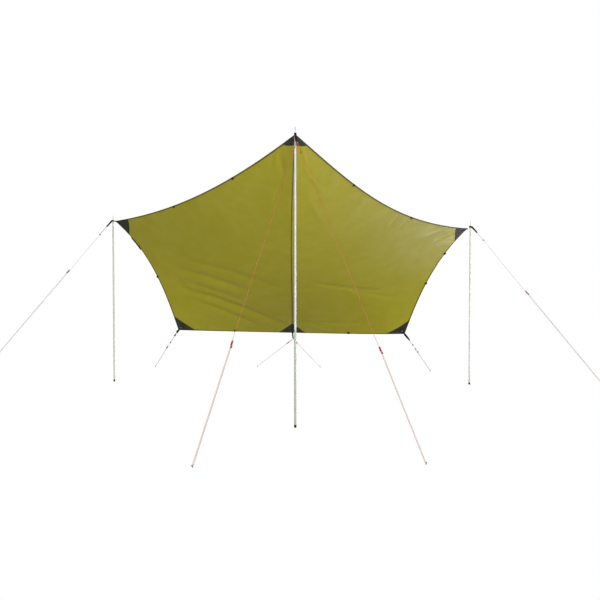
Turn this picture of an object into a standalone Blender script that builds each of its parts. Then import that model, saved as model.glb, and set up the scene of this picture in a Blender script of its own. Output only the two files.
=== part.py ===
"""A camping tarp pitched on three steel poles, with its guy ropes, runners and pegs.

The origin is on the ground under the centre pole, +X to the right of someone who looks in from
the open front, +Y to the rear and +Z up. Every length is in metres.
"""

import math

import bmesh
import bpy
from mathutils import Matrix, Vector

MM = 0.001
FIT = 0.3 * MM

# Corners of the pitched cloth
APEX = Vector((0.0, 0.040, 2.500))
LEFT_WING = Vector((-2.187, 2.880, 1.945))
RIGHT_WING = Vector((2.005, 2.611, 1.841))
REAR_LEFT = Vector((-1.541, 3.600, 0.575))
REAR_RIGHT = Vector((1.372, 3.360, 0.544))
REAR_MIDDLE = Vector((-0.057, 3.720, 0.532))

# Each edge is a shallow curve: how far its middle bows in, and how the bow leans along it
SEAM_BOW, SEAM_LEAN = Vector((-0.024, 0.0, -0.045)), -0.6
LEFT_FRONT_BOW, LEFT_FRONT_LEAN = 0.152, 0.15
LEFT_WING_BOW, LEFT_WING_LEAN = 0.112, -0.32
LEFT_REAR_BOW, LEFT_REAR_LEAN = -0.003, 0.0
RIGHT_FRONT_BOW, RIGHT_FRONT_LEAN = 0.219, 0.39
RIGHT_WING_BOW, RIGHT_WING_LEAN = 0.091, -0.26
RIGHT_REAR_BOW, RIGHT_REAR_LEAN = -0.016, 0.6

# Main folds, from one place on the cloth to another: u from seam to wing edge, v from front to rear
LEFT_FOLDS = (
    ((0.725, 0.394), (0.158, 0.644)),
    ((0.883, 0.444), (0.342, 0.700)),
    ((0.875, 0.556), (0.308, 0.763)),
    ((0.867, 0.644), (0.083, 0.919)),
)
RIGHT_FOLDS = (
    ((0.208, 0.606), (0.892, 0.670)),
    ((0.158, 0.894), (0.817, 0.931)),
)
FOLD_HEIGHT = 14 * MM
FOLD_HALF_WIDTH = 65 * MM
FOLD_CLEAR_OF_EDGE = 120 * MM
FRONT_LENGTH, REAR_LENGTH = 3.6, 1.5
SEAM_LENGTH, WING_LENGTH = 4.2, 1.7

# The grid that carries the cloth: its second line from each edge is the hem, set by HEM
COLUMNS = (0, None, 0.08, 0.18, 0.28, 0.38, 0.48, 0.58, 0.68, 0.78, 0.87, 0.94, None, 1)
ROWS = (0, None, 0.05, 0.10, 0.16, 0.23, 0.30, 0.36) + tuple(
    0.40 + 0.025 * step for step in range(23)
) + (None, 1)
HEM = 14 * MM
STEP = 1e-3

# Layers, as distances from the middle of the cloth towards the ground
CLOTH_HALF = 1.0 * MM
TAPE_NEAR, TAPE_FAR = 1.8 * MM, 2.8 * MM
PATCH_NEAR, PATCH_FAR = 4.4 * MM, 5.4 * MM
STRAP_LEVEL = 7.4 * MM

TAPE_HALF_WIDTH = 9 * MM
BINDING_CLEAR = 0.4 * MM
BINDING_WALL = 1.0 * MM

# Loops on the hem, as shares of the edge that they are sewn to
LEFT_LOOPS = {"front": (0.325, 0.667), "wing": (0.238, 0.519), "rear": (0.508,)}
RIGHT_LOOPS = {"front": (0.350, 0.708), "wing": (0.250, 0.531), "rear": (0.508,)}
LOOP_WIDTH = 18 * MM
LOOP_REACH = 28 * MM
LOOP_HALF_HEIGHT = 2.7 * MM
LOOP_LEVEL = 2.0 * MM
LOOP_SIDES = 10

# Webbing straps at the corners
STRAP_WIDTH = 20 * MM
STRAP_THICKNESS = 2 * MM
STRAP_END_WIDTH = 14 * MM
STRAP_TAPER = 15 * MM
STRAP_ON_CLOTH = (85 * MM, 45 * MM, 8 * MM)
STRAP_OFF_CLOTH = 12 * MM
STRAP_FLAT_HALF = 12 * MM
EYELET_HOLE = 6.5 * MM
STRAP_ENDS = {
    "apex": Vector((0.010, -0.045, 2.426)),
    "left_wing": Vector((-2.301, 2.912, 1.877)),
    "right_wing": Vector((2.121, 2.623, 1.794)),
    "rear_left": Vector((-1.603, 3.660, 0.492)),
    "rear_right": Vector((1.451, 3.460, 0.453)),
    "rear_middle": Vector((-0.050, 3.800, 0.444)),
}

# Poles: the place on the ground, and the height of the eyelet on the spike
POLES = {
    "centre": (0.0, 0.0, 2.503),
    "left": (-2.218, 2.892, 1.956),
    "right": (2.043, 2.623, 1.867),
}
TUBE_OUTER, TUBE_INNER = 9.5 * MM, 8.6 * MM
SWAGE_OUTER, SWAGE_INNER = 8.3 * MM, 7.5 * MM
SWAGE_LENGTH, SWAGE_STEP = 45 * MM, 1.2 * MM
FOOT_OUTER, FOOT_INNER = 11.0 * MM, 9.8 * MM
FOOT_HEIGHT, FOOT_FLOOR = 24 * MM, 6 * MM
CHAMFER = 0.8 * MM
PIN_RADIUS, PIN_ABOVE_EYELET = 2.6 * MM, 56 * MM
SHOULDER_THICKNESS, PLUG_LENGTH = 5 * MM, 25 * MM
EYELET_BORE, EYELET_NECK, EYELET_FLANGE = 3.6 * MM, 6.0 * MM, 9.0 * MM
EYELET_FLANGE_THICKNESS = 1.0 * MM
ROUND_SIDES = 16

# Guys: the strap that each hangs from, its place across the strap's end, its peg on the ground
# and its runner, as a share of the way from the strap's end to the peg
GUYS = {
    "front_left": ("apex", -4 * MM, (-0.689, -1.406), 0.668),
    "front_right": ("apex", 4 * MM, (0.907, -1.324), 0.688),
    "left": ("left_wing", 0, (-4.150, 3.733), 0.285),
    "right": ("right_wing", 0, (3.550, 2.393), 0.390),
    "rear_left": ("rear_left", 0, (-1.976, 4.321), 0.342),
    "rear_middle_left": ("rear_middle", -4 * MM, (-0.554, 4.380), 0.107),
    "rear_middle_right": ("rear_middle", 4 * MM, (0.318, 4.298), 0.110),
    "rear_right": ("rear_right", 0, (1.780, 3.861), 0.279),
}
ROPE_DIAMETER = 3 * MM
ROPE_BOW = 4.2 * MM
BOW_POINTS = 8
BOW_ABOVE_GROUND = 9 * MM
ROPE_LEAD = 8 * MM
ROPE_CLEAR = 0.4 * MM
ROPE_POINT_EVERY = 0.25
RUNNER_LENGTH, RUNNER_WIDTH, RUNNER_THICKNESS = 38 * MM, 16.4 * MM, 7 * MM
RUNNER_BORE, RUNNER_BEVEL = 2.0 * MM, 1.2 * MM
PEG_SHAFT, PEG_HEAD = 2.0 * MM, 5.5 * MM
PEG_HEIGHT, PEG_HEAD_THICKNESS = 20 * MM, 2 * MM
PEG_LEAN = math.radians(25)

UP = Vector((0, 0, 1))


def colour(red, green, blue):
    """A screen colour from 0 to 255 as Blender's linear one."""
    return [((level / 255 + 0.055) / 1.055) ** 2.4 for level in (red, green, blue)] + [1]


def finish(name, screen_colour, roughness, metallic=0.0):
    material = bpy.data.materials.new(name)
    material.use_nodes = True
    shader = material.node_tree.nodes["Principled BSDF"]
    shader.inputs["Base Color"].default_value = colour(*screen_colour)
    shader.inputs["Roughness"].default_value = roughness
    shader.inputs["Metallic"].default_value = metallic
    return material


def add_object(name, data, material):
    data.materials.clear()
    data.materials.append(material)
    part = bpy.data.objects.new(name, data)
    bpy.context.scene.collection.objects.link(part)
    return part


def solid(name, shape, material, smooth_below=0.0):
    """An object from a closed bmesh, with its faces turned outwards."""
    bmesh.ops.recalc_face_normals(shape, faces=shape.faces)
    mesh = bpy.data.meshes.new(name)
    shape.to_mesh(mesh)
    shape.free()
    if smooth_below:
        mesh.shade_smooth()
        mesh.set_sharp_from_angle(angle=math.radians(smooth_below))
    return add_object(name, mesh, material)


def sheet(name, near, far, material):
    """A closed sheet between two grids of points, each a list of equal rows."""
    shape = bmesh.new()
    near = [[shape.verts.new(point) for point in row] for row in near]
    far = [[shape.verts.new(point) for point in row] for row in far]
    last_i, last_j = len(near) - 1, len(near[0]) - 1
    for layer in (near, far):
        for i in range(last_i):
            for j in range(last_j):
                shape.faces.new((layer[i][j], layer[i + 1][j], layer[i + 1][j + 1], layer[i][j + 1]))
    rim = [(i, 0) for i in range(last_i)] + [(last_i, j) for j in range(last_j)]
    rim += [(i, last_j) for i in range(last_i, 0, -1)] + [(0, j) for j in range(last_j, 0, -1)]
    for (i, j), (k, l) in zip(rim, rim[1:] + rim[:1]):
        shape.faces.new((near[i][j], near[k][l], far[k][l], far[i][j]))
    return solid(name, shape, material, 30)


def sweep(name, sections, material, caps=None):
    """A solid through equal rings of points: capped at its ends, or joined into a ring of its own."""
    shape = bmesh.new()
    rings = [[shape.verts.new(point) for point in section] for section in sections]
    followers = rings[1:] + ([] if caps else rings[:1])
    for ring, after in zip(rings, followers):
        for k, vert in enumerate(ring):
            n = (k + 1) % len(ring)
            shape.faces.new((vert, ring[n], after[n], after[k]))
    for ring in (rings[0], rings[-1]) if caps else ():
        for cap in caps:
            shape.faces.new([ring[k] for k in cap])
    return solid(name, shape, material, 40)


def turned(name, outline, material, ring=False):
    """A turned solid about Z, from (radius, height) points that meet the axis or close a ring."""
    shape = bmesh.new()
    verts = [shape.verts.new((radius, 0, height)) for radius, height in outline]
    edges = [shape.edges.new(pair) for pair in zip(verts, verts[1:] + (verts[:1] if ring else []))]
    bmesh.ops.spin(
        shape, geom=verts + edges, cent=(0, 0, 0), axis=(0, 0, 1),
        angle=math.tau, steps=ROUND_SIDES, use_merge=True,
    )
    bmesh.ops.remove_doubles(shape, verts=shape.verts, dist=1e-6)
    return solid(name, shape, material, 35)


def bowed(start, end, bow, lean, t):
    return start.lerp(end, t) + bow * (4 * t * (1 - t) * (1 + lean * (2 * t - 1)))


def inward(start, end, third):
    """Unit vector square to an edge of the cloth, towards a third corner."""
    along = (end - start).normalized()
    across = third - start
    return (across - along * across.dot(along)).normalized()


def square_to(vector, axis):
    return (vector - axis * vector.dot(axis)).normalized()


class Panel:
    """Half of the cloth, stretched between its four curved edges and ridged along its folds."""

    def __init__(self, side, wing, rear, front_bow, wing_bow, rear_bow, folds):
        self.side = side
        self.wing, self.rear = wing, rear
        self.front_bow = inward(APEX, wing, REAR_MIDDLE) * front_bow[0]
        self.front_lean = front_bow[1]
        self.wing_bow = inward(wing, rear, REAR_MIDDLE) * wing_bow[0]
        self.wing_lean = wing_bow[1]
        self.rear_bow = inward(REAR_MIDDLE, rear, APEX) * rear_bow[0]
        self.rear_lean = rear_bow[1]
        self.folds = folds
        self.points = self.grid()
        self.normals = self.grid_normals()

    def surface(self, u, v):
        """The cloth without its folds, blended between its edges."""
        front = bowed(APEX, self.wing, self.front_bow, self.front_lean, u)
        rear = bowed(REAR_MIDDLE, self.rear, self.rear_bow, self.rear_lean, u)
        seam = bowed(APEX, REAR_MIDDLE, SEAM_BOW, SEAM_LEAN, v)
        wing = bowed(self.wing, self.rear, self.wing_bow, self.wing_lean, v)
        corners = APEX.lerp(self.wing, u).lerp(REAR_MIDDLE.lerp(self.rear, u), v)
        return front.lerp(rear, v) + seam.lerp(wing, u) - corners

    def slopes(self, u, v):
        """Change of the surface for each unit of u and of v."""
        u0, u1 = max(u - STEP, 0), min(u + STEP, 1)
        v0, v1 = max(v - STEP, 0), min(v + STEP, 1)
        along_u = (self.surface(u1, v) - self.surface(u0, v)) / (u1 - u0)
        along_v = (self.surface(u, v1) - self.surface(u, v0)) / (v1 - v0)
        return along_u, along_v

    def normal(self, u, v):
        """Unit vector off the outer side of the cloth, up and to the rear."""
        along_u, along_v = self.slopes(u, v)
        return along_u.cross(along_v).normalized() * self.side

    def fold_height(self, u, v):
        width = FRONT_LENGTH + (REAR_LENGTH - FRONT_LENGTH) * v
        length = SEAM_LENGTH + (WING_LENGTH - SEAM_LENGTH) * u
        to_edge = min(u * width, (1 - u) * width, v * length, (1 - v) * length)
        fade = min(to_edge / FOLD_CLEAR_OF_EDGE, 1)
        height = 0
        for (u0, v0), (u1, v1) in self.folds:
            here = Vector(((u - u0) * width, (v - v0) * length))
            fold = Vector(((u1 - u0) * width, (v1 - v0) * length))
            share = min(max(here.dot(fold) / fold.length_squared, 0), 1)
            off = (here - fold * share).length / FOLD_HALF_WIDTH
            height += math.exp(-off * off) * math.sin(math.pi * (0.15 + 0.7 * share))
        return FOLD_HEIGHT * height * fade

    def point(self, u, v):
        return self.surface(u, v) + self.normal(u, v) * self.fold_height(u, v)

    def hem_point(self, u, v):
        """The point one hem in from a place on an edge."""
        along_u, along_v = self.slopes(u, v)
        if v in (0, 1):
            return self.surface(u, v) + square_to(along_v * (1 - 2 * v), along_u.normalized()) * HEM
        return self.surface(u, v) + square_to(along_u * (1 - 2 * u), along_v.normalized()) * HEM

    def hem_corner(self, u, v):
        """The hem's point at a corner of the panel, and its feet on the two edges."""
        along_u, along_v = self.slopes(u, v)
        along_u, along_v = along_u * (1 - 2 * u), along_v * (1 - 2 * v)
        angle = along_u.angle(along_v)
        diagonal = (along_u.normalized() + along_v.normalized()) * HEM / math.sin(angle)
        foot = HEM / math.tan(angle / 2)
        foot_on_u = self.surface(abs(u - foot / along_u.length), v)
        foot_on_v = self.surface(u, abs(v - foot / along_v.length))
        return self.surface(u, v) + diagonal, foot_on_u, foot_on_v

    def grid(self):
        """Points of the cloth, column by column from the seam, each column from front to rear."""
        inner_u = [(i, u) for i, u in enumerate(COLUMNS) if u not in (0, None, 1)]
        inner_v = [(j, v) for j, v in enumerate(ROWS) if v not in (0, None, 1)]
        points = [[None] * len(ROWS) for _ in COLUMNS]
        for i, u in inner_u:
            for j, v in inner_v:
                points[i][j] = self.point(u, v)
        for edge, hem in ((0, 1), (-1, -2)):
            end = abs(edge)
            for i, u in inner_u:
                points[i][edge], points[i][hem] = self.surface(u, end), self.hem_point(u, end)
            for j, v in inner_v:
                points[edge][j], points[hem][j] = self.surface(end, v), self.hem_point(end, v)
            for edge_v, hem_v in ((0, 1), (-1, -2)):
                inset, foot_on_u, foot_on_v = self.hem_corner(end, abs(edge_v))
                points[hem][hem_v] = inset
                points[hem][edge_v] = foot_on_u
                points[edge][hem_v] = foot_on_v
                points[edge][edge_v] = self.surface(end, abs(edge_v))
        return points

    def grid_normals(self):
        last_i, last_j = len(self.points) - 1, len(self.points[0]) - 1
        normals = []
        for i in range(last_i + 1):
            before, after = self.points[max(i - 1, 0)], self.points[min(i + 1, last_i)]
            column = []
            for j in range(last_j + 1):
                along_u = after[j] - before[j]
                along_v = self.points[i][min(j + 1, last_j)] - self.points[i][max(j - 1, 0)]
                column.append(along_u.cross(along_v).normalized() * self.side)
            normals.append(column)
        return normals

    def hem_stations(self):
        """Places along the bound edges, from the seam round the wing and back to the seam: the point
        on the edge, the one a hem in from it, and the cloth's normals there."""
        last_i, last_j = len(self.points) - 1, len(self.points[0]) - 1
        pairs = [((i, 0), (i, 1)) for i in range(1, last_i - 1)]
        pairs += [((last_i, 0), (last_i - 1, 1))]
        pairs += [((last_i, j), (last_i - 1, j)) for j in range(2, last_j - 1)]
        pairs += [((last_i, last_j), (last_i - 1, last_j - 1))]
        pairs += [((i, last_j), (i, last_j - 1)) for i in range(last_i - 2, 0, -1)]
        return [
            (self.points[i][j], self.points[k][l], self.normals[i][j], self.normals[k][l])
            for (i, j), (k, l) in pairs
        ]

    def edge_place(self, edge, share):
        """Where a loop is sewn on: the point, and unit vectors along the edge, off it and off the cloth."""
        lines = ROWS if edge == "wing" else COLUMNS
        after = next(k for k, line in enumerate(lines) if line is not None and line > share)
        part = (share - lines[after - 1]) / (lines[after] - lines[after - 1])
        last_i, last_j = len(self.points) - 1, len(self.points[0]) - 1
        places = []
        for k in (after - 1, after):
            i, j = {"front": (k, 0), "wing": (last_i, k), "rear": (k, last_j)}[edge]
            inset = {"front": (k, 1), "wing": (last_i - 1, k), "rear": (k, last_j - 1)}[edge]
            places.append((self.points[i][j], self.points[inset[0]][inset[1]], self.normals[i][j]))
        (start, start_in, start_normal), (end, end_in, end_normal) = places
        point = start.lerp(end, part)
        along = (end - start).normalized()
        off_edge = square_to(point - start_in.lerp(end_in, part), along)
        return point, along, off_edge, start_normal.lerp(end_normal, part).normalized()


def seam_normal(v):
    """The mitred normal at the seam: longer than 1, so that a layer keeps its distance on both sides."""
    left, right = LEFT.normal(0, v), RIGHT.normal(0, v)
    middle = (left + right).normalized()
    return middle / middle.dot(left)


def mitre_seam():
    """Gives both panels one normal along the seam, and parts their edges by the fit."""
    for j, (left, right) in enumerate(zip(LEFT.normals[0], RIGHT.normals[0])):
        middle = (left + right).normalized()
        LEFT.normals[0][j] = RIGHT.normals[0][j] = middle / middle.dot(left)


def below(point, normal, distance):
    return point - normal * distance


def add_panel(name, panel, material):
    """The cloth itself, kept half a fit off the other panel along the seam."""
    part_seam = Vector((panel.side * FIT / 2, 0, 0))
    layers = []
    for distance in (CLOTH_HALF, -CLOTH_HALF):
        layer = []
        for i, (points, normals) in enumerate(zip(panel.points, panel.normals)):
            shift = Vector() if i else part_seam
            layer.append([below(p, n, distance) + shift for p, n in zip(points, normals)])
        layers.append(layer)
    return sheet(name, *layers, material)


def add_seam_tape(material):
    """The tape that covers the seam inside, between the hems of its two ends."""
    layers = []
    for distance in (TAPE_NEAR, TAPE_FAR):
        rows = []
        for j in range(1, len(ROWS) - 1):
            row = []
            for panel, column in ((LEFT, 1), (LEFT, 0), (RIGHT, 1)):
                seam, hem = panel.points[0][j], panel.points[column][j]
                place = seam.lerp(hem, TAPE_HALF_WIDTH / HEM)
                row.append(below(place, panel.normals[column][j], distance))
            rows.append(row)
        layers.append(rows)
    return sheet("seam_tape", *layers, material)


def binding_section(edge, hem, edge_normal, hem_normal):
    """The U of the binding round one place on the edge."""
    off = (edge - hem) / HEM
    inner, outer = BINDING_CLEAR, BINDING_CLEAR + BINDING_WALL
    return [
        below(hem, hem_normal, TAPE_NEAR),
        below(edge + off * inner, edge_normal, TAPE_NEAR),
        below(edge + off * inner, edge_normal, -TAPE_NEAR),
        below(hem, hem_normal, -TAPE_NEAR),
        below(hem, hem_normal, -TAPE_FAR),
        below(edge + off * outer, edge_normal, -TAPE_FAR),
        below(edge + off * outer, edge_normal, TAPE_FAR),
        below(hem, hem_normal, TAPE_FAR),
    ]


def add_loop(name, panel, edge, share, material):
    """A short loop of tape that lies inward under the hem, bent from a strip sunk in the binding."""
    place, along, off_edge, normal = panel.edge_place(edge, share)
    middle = below(place - off_edge * LOOP_REACH / 2, normal, LOOP_LEVEL + LOOP_HALF_HEIGHT)
    sections = []
    for k in range(LOOP_SIDES):
        angle = math.tau * k / LOOP_SIDES
        ring = []
        for wall in (0, BINDING_WALL):
            reach = (LOOP_REACH / 2 - wall) * math.cos(angle)
            height = (LOOP_HALF_HEIGHT - wall) * math.sin(angle)
            ring.append(middle + off_edge * reach + normal * height)
        half = along * LOOP_WIDTH / 2
        sections.append([ring[0] - half, ring[0] + half, ring[1] + half, ring[1] - half])
    loop = sweep(name, sections, material)
    loop.hide_render = True
    loop.display_type = "WIRE"
    return loop


def add_binding(name, panel, loops, material):
    """The tape bound round the open edges of a panel, with its loops joined to it."""
    sections = [binding_section(*station) for station in panel.hem_stations()]
    binding = sweep(name, sections, material, caps=((0, 1, 6, 7), (1, 2, 5, 6), (2, 3, 4, 5)))
    for edge, shares in loops.items():
        for number, share in enumerate(shares, 1):
            join = binding.modifiers.new(f"{edge} loop {number}", "BOOLEAN")
            join.operation = "UNION"
            join.solver = "EXACT"
            join.object = add_loop(f"{name}_{edge}_loop_{number}", panel, edge, share, material)
    return binding


def fan(corner, spans, bulge, reaches):
    """Rows of places (panel, u, v) that open like a fan from a corner. Each span is a panel with its
    two sides, each side the change in u and v along it."""
    rows = []
    for reach in reaches:
        row = []
        for number, (panel, first, last) in enumerate(spans):
            for step in range(1 if number else 0, 5):
                s = step / 4
                arc = 1 + bulge * 4 * s * (1 - s)
                du = (first[0] * (1 - s) + last[0] * s) * arc * reach
                dv = (first[1] * (1 - s) + last[1] * s) * arc * reach
                row.append((panel, corner[0] + du, corner[1] + dv))
        rows.append(row)
    return rows


def add_patch(name, corner, spans, bulge, material):
    """A corner's reinforcement, sewn on under the cloth."""
    places = fan(corner, spans, bulge, (0.06, 0.35, 0.68, 1.0))
    layers = []
    for distance in (PATCH_NEAR, PATCH_FAR):
        rows = []
        for row in places:
            points = []
            for panel, u, v in row:
                normal = seam_normal(v) if u == 0 else panel.normal(u, v)
                points.append(below(panel.surface(u, v), normal, distance))
            rows.append(points)
        layers.append(rows)
    return sheet(name, *layers, material)


def add_patches(material):
    add_patch(
        "apex_patch", (0, 0),
        ((LEFT, (0.063, 0), (0, 0.032)), (RIGHT, (0, 0.032), (0.066, 0))), 0.12, material,
    )
    add_patch("left_wing_patch", (1, 0), ((LEFT, (-0.072, 0), (0, 0.134)),), 0.06, material)
    add_patch("right_wing_patch", (1, 0), ((RIGHT, (-0.054, 0), (0, 0.128)),), 0.06, material)
    add_patch("rear_left_patch", (1, 1), ((LEFT, (0, -0.114), (-0.138, 0)),), -0.04, material)
    add_patch("rear_right_patch", (1, 1), ((RIGHT, (0, -0.110), (-0.140, 0)),), -0.12, material)
    add_patch(
        "rear_middle_patch", (0, 1),
        ((LEFT, (0.104, 0), (0, -0.072)), (RIGHT, (0, -0.072), (0.104, 0))), 0.0, material,
    )


def on_bisector(name, distance):
    """A place on the cloth, inward from a corner and halfway between its edges: the point, the unit
    vector that leads inward and the normal."""
    if name in ("apex", "rear_middle"):
        end = 0 if name == "apex" else 1
        into = LEFT.slopes(0, end)[1] * (1 - 2 * end)
        v = abs(end - distance / into.length)
        return LEFT.surface(0, v), into.normalized(), seam_normal(v)
    panel = LEFT if "left" in name else RIGHT
    end = 0 if "wing" in name else 1
    along_u, along_v = panel.slopes(1, end)
    into = along_v.normalized() * (1 - 2 * end) - along_u.normalized()
    share = distance / into.length
    u, v = 1 - share / along_u.length, abs(end - share / along_v.length)
    return panel.surface(u, v), into.normalized(), panel.normal(u, v)


def strap_route(name, pole):
    """Stations along a strap, from the patch out to its end: a point, the direction across the strap
    and the width. Over a pole it lies flat on the eyelet before it turns down to the guy."""
    route = []
    for distance in STRAP_ON_CLOTH:
        point, into, normal = on_bisector(name, distance)
        across = normal.cross(into).normalized()
        route.append((below(point, normal, STRAP_LEVEL), across, STRAP_WIDTH))
    corner, into, normal = on_bisector(name, 0)
    across = normal.cross(into).normalized()
    route.append((below(corner, normal, STRAP_LEVEL) - into * STRAP_OFF_CLOTH, across, STRAP_WIDTH))
    if pole:
        eyelet = Vector(POLES[pole])
        out = route[-1][0] - eyelet
        out = Vector((out.x, out.y, 0)).normalized()
        flat_across = UP.cross(out)
        if flat_across.dot(across) < 0:
            flat_across = -flat_across
        for side in (1, -1):
            route.append((eyelet + out * side * STRAP_FLAT_HALF, flat_across, STRAP_WIDTH))
    end = STRAP_ENDS[name]
    way = (end - route[-1][0]).normalized()
    end_across = square_to(route[-1][1], way)
    route.append((end - way * STRAP_TAPER, end_across, STRAP_WIDTH))
    route.append((end, end_across, STRAP_END_WIDTH))
    return route


def add_strap(name, pole, material):
    route = strap_route(name, pole)
    points = [point for point, _, _ in route]
    sections = []
    for k, (point, across, width) in enumerate(route):
        ways = [b - a for a, b in zip(points[max(k - 1, 0):k + 2], points[max(k - 1, 0) + 1:k + 2])]
        faces = [across.cross(way).normalized() for way in ways]
        face = sum(faces, Vector()).normalized()
        thick = face * (STRAP_THICKNESS / 2) / face.dot(faces[0])
        half = across * width / 2
        low, high = point - thick, point + thick
        sections.append([low - half, low + half, high + half, high - half])
    strap = sweep(f"{name}_strap", sections, material, caps=((0, 1, 2, 3),))
    if pole:
        depth = 2 * STRAP_THICKNESS
        hole = turned(
            f"{name}_strap_hole",
            ((0, -depth), (EYELET_HOLE, -depth), (EYELET_HOLE, depth), (0, depth)), material,
        )
        hole.location = POLES[pole]
        hole.hide_render = True
        hole.display_type = "WIRE"
        cut = strap.modifiers.new("eyelet hole", "BOOLEAN")
        cut.operation = "DIFFERENCE"
        cut.solver = "EXACT"
        cut.object = hole
    return strap


def add_child(part, parent, height):
    part.parent = parent
    part.location = (0, 0, height)


def tube(name, length, material, swaged):
    """A steel tube, open at both ends. A swaged one ends in a narrow neck that enters the next."""
    outline = [(TUBE_OUTER, 0), (TUBE_OUTER, length)]
    if swaged:
        outline += [
            (SWAGE_OUTER, length + SWAGE_STEP),
            (SWAGE_OUTER, length + SWAGE_LENGTH),
            (SWAGE_INNER, length + SWAGE_LENGTH),
            (SWAGE_INNER, length - SWAGE_STEP),
            (TUBE_INNER, length - 3 * SWAGE_STEP),
        ]
    else:
        outline.append((TUBE_INNER, length))
    outline.append((TUBE_INNER, 0))
    return turned(name, outline, material, ring=True)


def foot(name, material):
    return turned(
        name,
        (
            (0, 0),
            (FOOT_OUTER - CHAMFER, 0),
            (FOOT_OUTER, CHAMFER),
            (FOOT_OUTER, FOOT_HEIGHT),
            (FOOT_INNER, FOOT_HEIGHT),
            (FOOT_INNER, FOOT_FLOOR),
            (0, FOOT_FLOOR),
        ),
        material,
    )


def spike(name, material):
    """The spike's zero is the eyelet's height: the pin goes through it and the shoulder is below."""
    top = -EYELET_FLANGE_THICKNESS - STRAP_THICKNESS / 2 - 2 * FIT
    bottom = top - SHOULDER_THICKNESS
    return turned(
        name,
        (
            (0, bottom - PLUG_LENGTH),
            (SWAGE_OUTER - CHAMFER, bottom - PLUG_LENGTH),
            (SWAGE_OUTER, bottom - PLUG_LENGTH + CHAMFER),
            (SWAGE_OUTER, bottom),
            (TUBE_OUTER, bottom),
            (TUBE_OUTER, top),
            (PIN_RADIUS, top),
            (PIN_RADIUS, PIN_ABOVE_EYELET - 2 * PIN_RADIUS),
            (PIN_RADIUS / 2, PIN_ABOVE_EYELET - PIN_RADIUS / 4),
            (0, PIN_ABOVE_EYELET),
        ),
        material,
    )


def eyelet(name, material):
    """A spool set in the strap, with a flange on each side of the webbing."""
    inner = STRAP_THICKNESS / 2 + FIT
    outer = inner + EYELET_FLANGE_THICKNESS
    outline = (
        (EYELET_BORE, -outer), (EYELET_FLANGE, -outer), (EYELET_FLANGE, -inner), (EYELET_NECK, -inner),
        (EYELET_NECK, inner), (EYELET_FLANGE, inner), (EYELET_FLANGE, outer), (EYELET_BORE, outer),
    )
    return turned(name, outline, material, ring=True)


def add_pole(name, corner, finishes):
    """A pole of three tubes between a rubber foot and the spike that holds the cloth's corner."""
    x, y, eyelet_height = POLES[name]
    pole = bpy.data.objects.new(f"{name}_pole", None)
    pole.location = (x, y, 0)
    bpy.context.scene.collection.objects.link(pole)
    shoulder = eyelet_height - EYELET_FLANGE_THICKNESS - STRAP_THICKNESS / 2 - 2 * FIT
    base = FOOT_FLOOR + FIT
    top = shoulder - SHOULDER_THICKNESS - FIT
    join = SWAGE_STEP + FIT
    length = (top - base - 2 * join) / 3
    add_child(foot(f"{name}_pole_foot", finishes["rubber"]), pole, 0)
    for number, section in enumerate(("lower", "middle", "upper")):
        part = tube(f"{name}_pole_{section}_tube", length, finishes["steel"], section != "upper")
        add_child(part, pole, base + number * (length + join))
    add_child(spike(f"{name}_pole_spike", finishes["steel"]), pole, eyelet_height)
    add_child(eyelet(f"{corner}_eyelet", finishes["eyelet"]), pole, eyelet_height)


def guy_frame(name):
    """The straight part of a guy: its start, its direction to the peg, the level direction across it,
    its length to the middle of the bow round the peg, and that middle."""
    corner, shift, ground, _ = GUYS[name]
    route = strap_route(corner, POLE_OF.get(corner))
    end, across, _ = route[-1]
    way = (end - route[-2][0]).normalized()
    if across.x < 0:
        across = -across
    start = end + across * shift + way * ROPE_LEAD
    away = Vector((ground[0] - start.x, ground[1] - start.y, 0)).normalized()
    peg = Vector((ground[0], ground[1], 0)) + (UP + away * math.tan(PEG_LEAN)) * BOW_ABOVE_GROUND
    level = (peg - start).cross(UP).normalized()
    direction = (peg + level * ROPE_BOW - start).normalized()
    level = direction.cross(UP).normalized()
    length = (peg + level * ROPE_BOW - start).length
    return start, way, direction, level, length


def add_rope(name, material):
    """A guy from its strap, round the peg and back through the runner, as one run of rope."""
    start, way, direction, level, length = guy_frame(name)
    middle = start + direction * length - level * ROPE_BOW
    points = [start - way * (ROPE_LEAD - ROPE_CLEAR), start]
    runs = max(int(length / ROPE_POINT_EVERY), 2)
    points += [start + direction * length * k / runs for k in range(1, runs + 1)]
    for k in range(1, BOW_POINTS + 1):
        angle = math.pi * k / BOW_POINTS
        points.append(middle + (level * math.cos(angle) + direction * math.sin(angle)) * ROPE_BOW)
    back = length - runner_place(name) + RUNNER_LENGTH / 2 + ROPE_LEAD
    end = middle - level * ROPE_BOW
    runs = max(int(back / ROPE_POINT_EVERY), 2)
    points += [end - direction * back * k / runs for k in range(1, runs + 1)]
    curve = bpy.data.curves.new(f"{name}_guy_rope", "CURVE")
    curve.dimensions = "3D"
    curve.bevel_depth = ROPE_DIAMETER / 2
    curve.bevel_resolution = 2
    curve.use_fill_caps = True
    spline = curve.splines.new("POLY")
    spline.points.add(len(points) - 1)
    for place, point in zip(spline.points, points):
        place.co = (*point, 1)
    return add_object(f"{name}_guy_rope", curve, material)


def runner_place(name):
    """How far along the guy's straight part the middle of its runner rests."""
    return GUYS[name][3] * guy_frame(name)[4]


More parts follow.
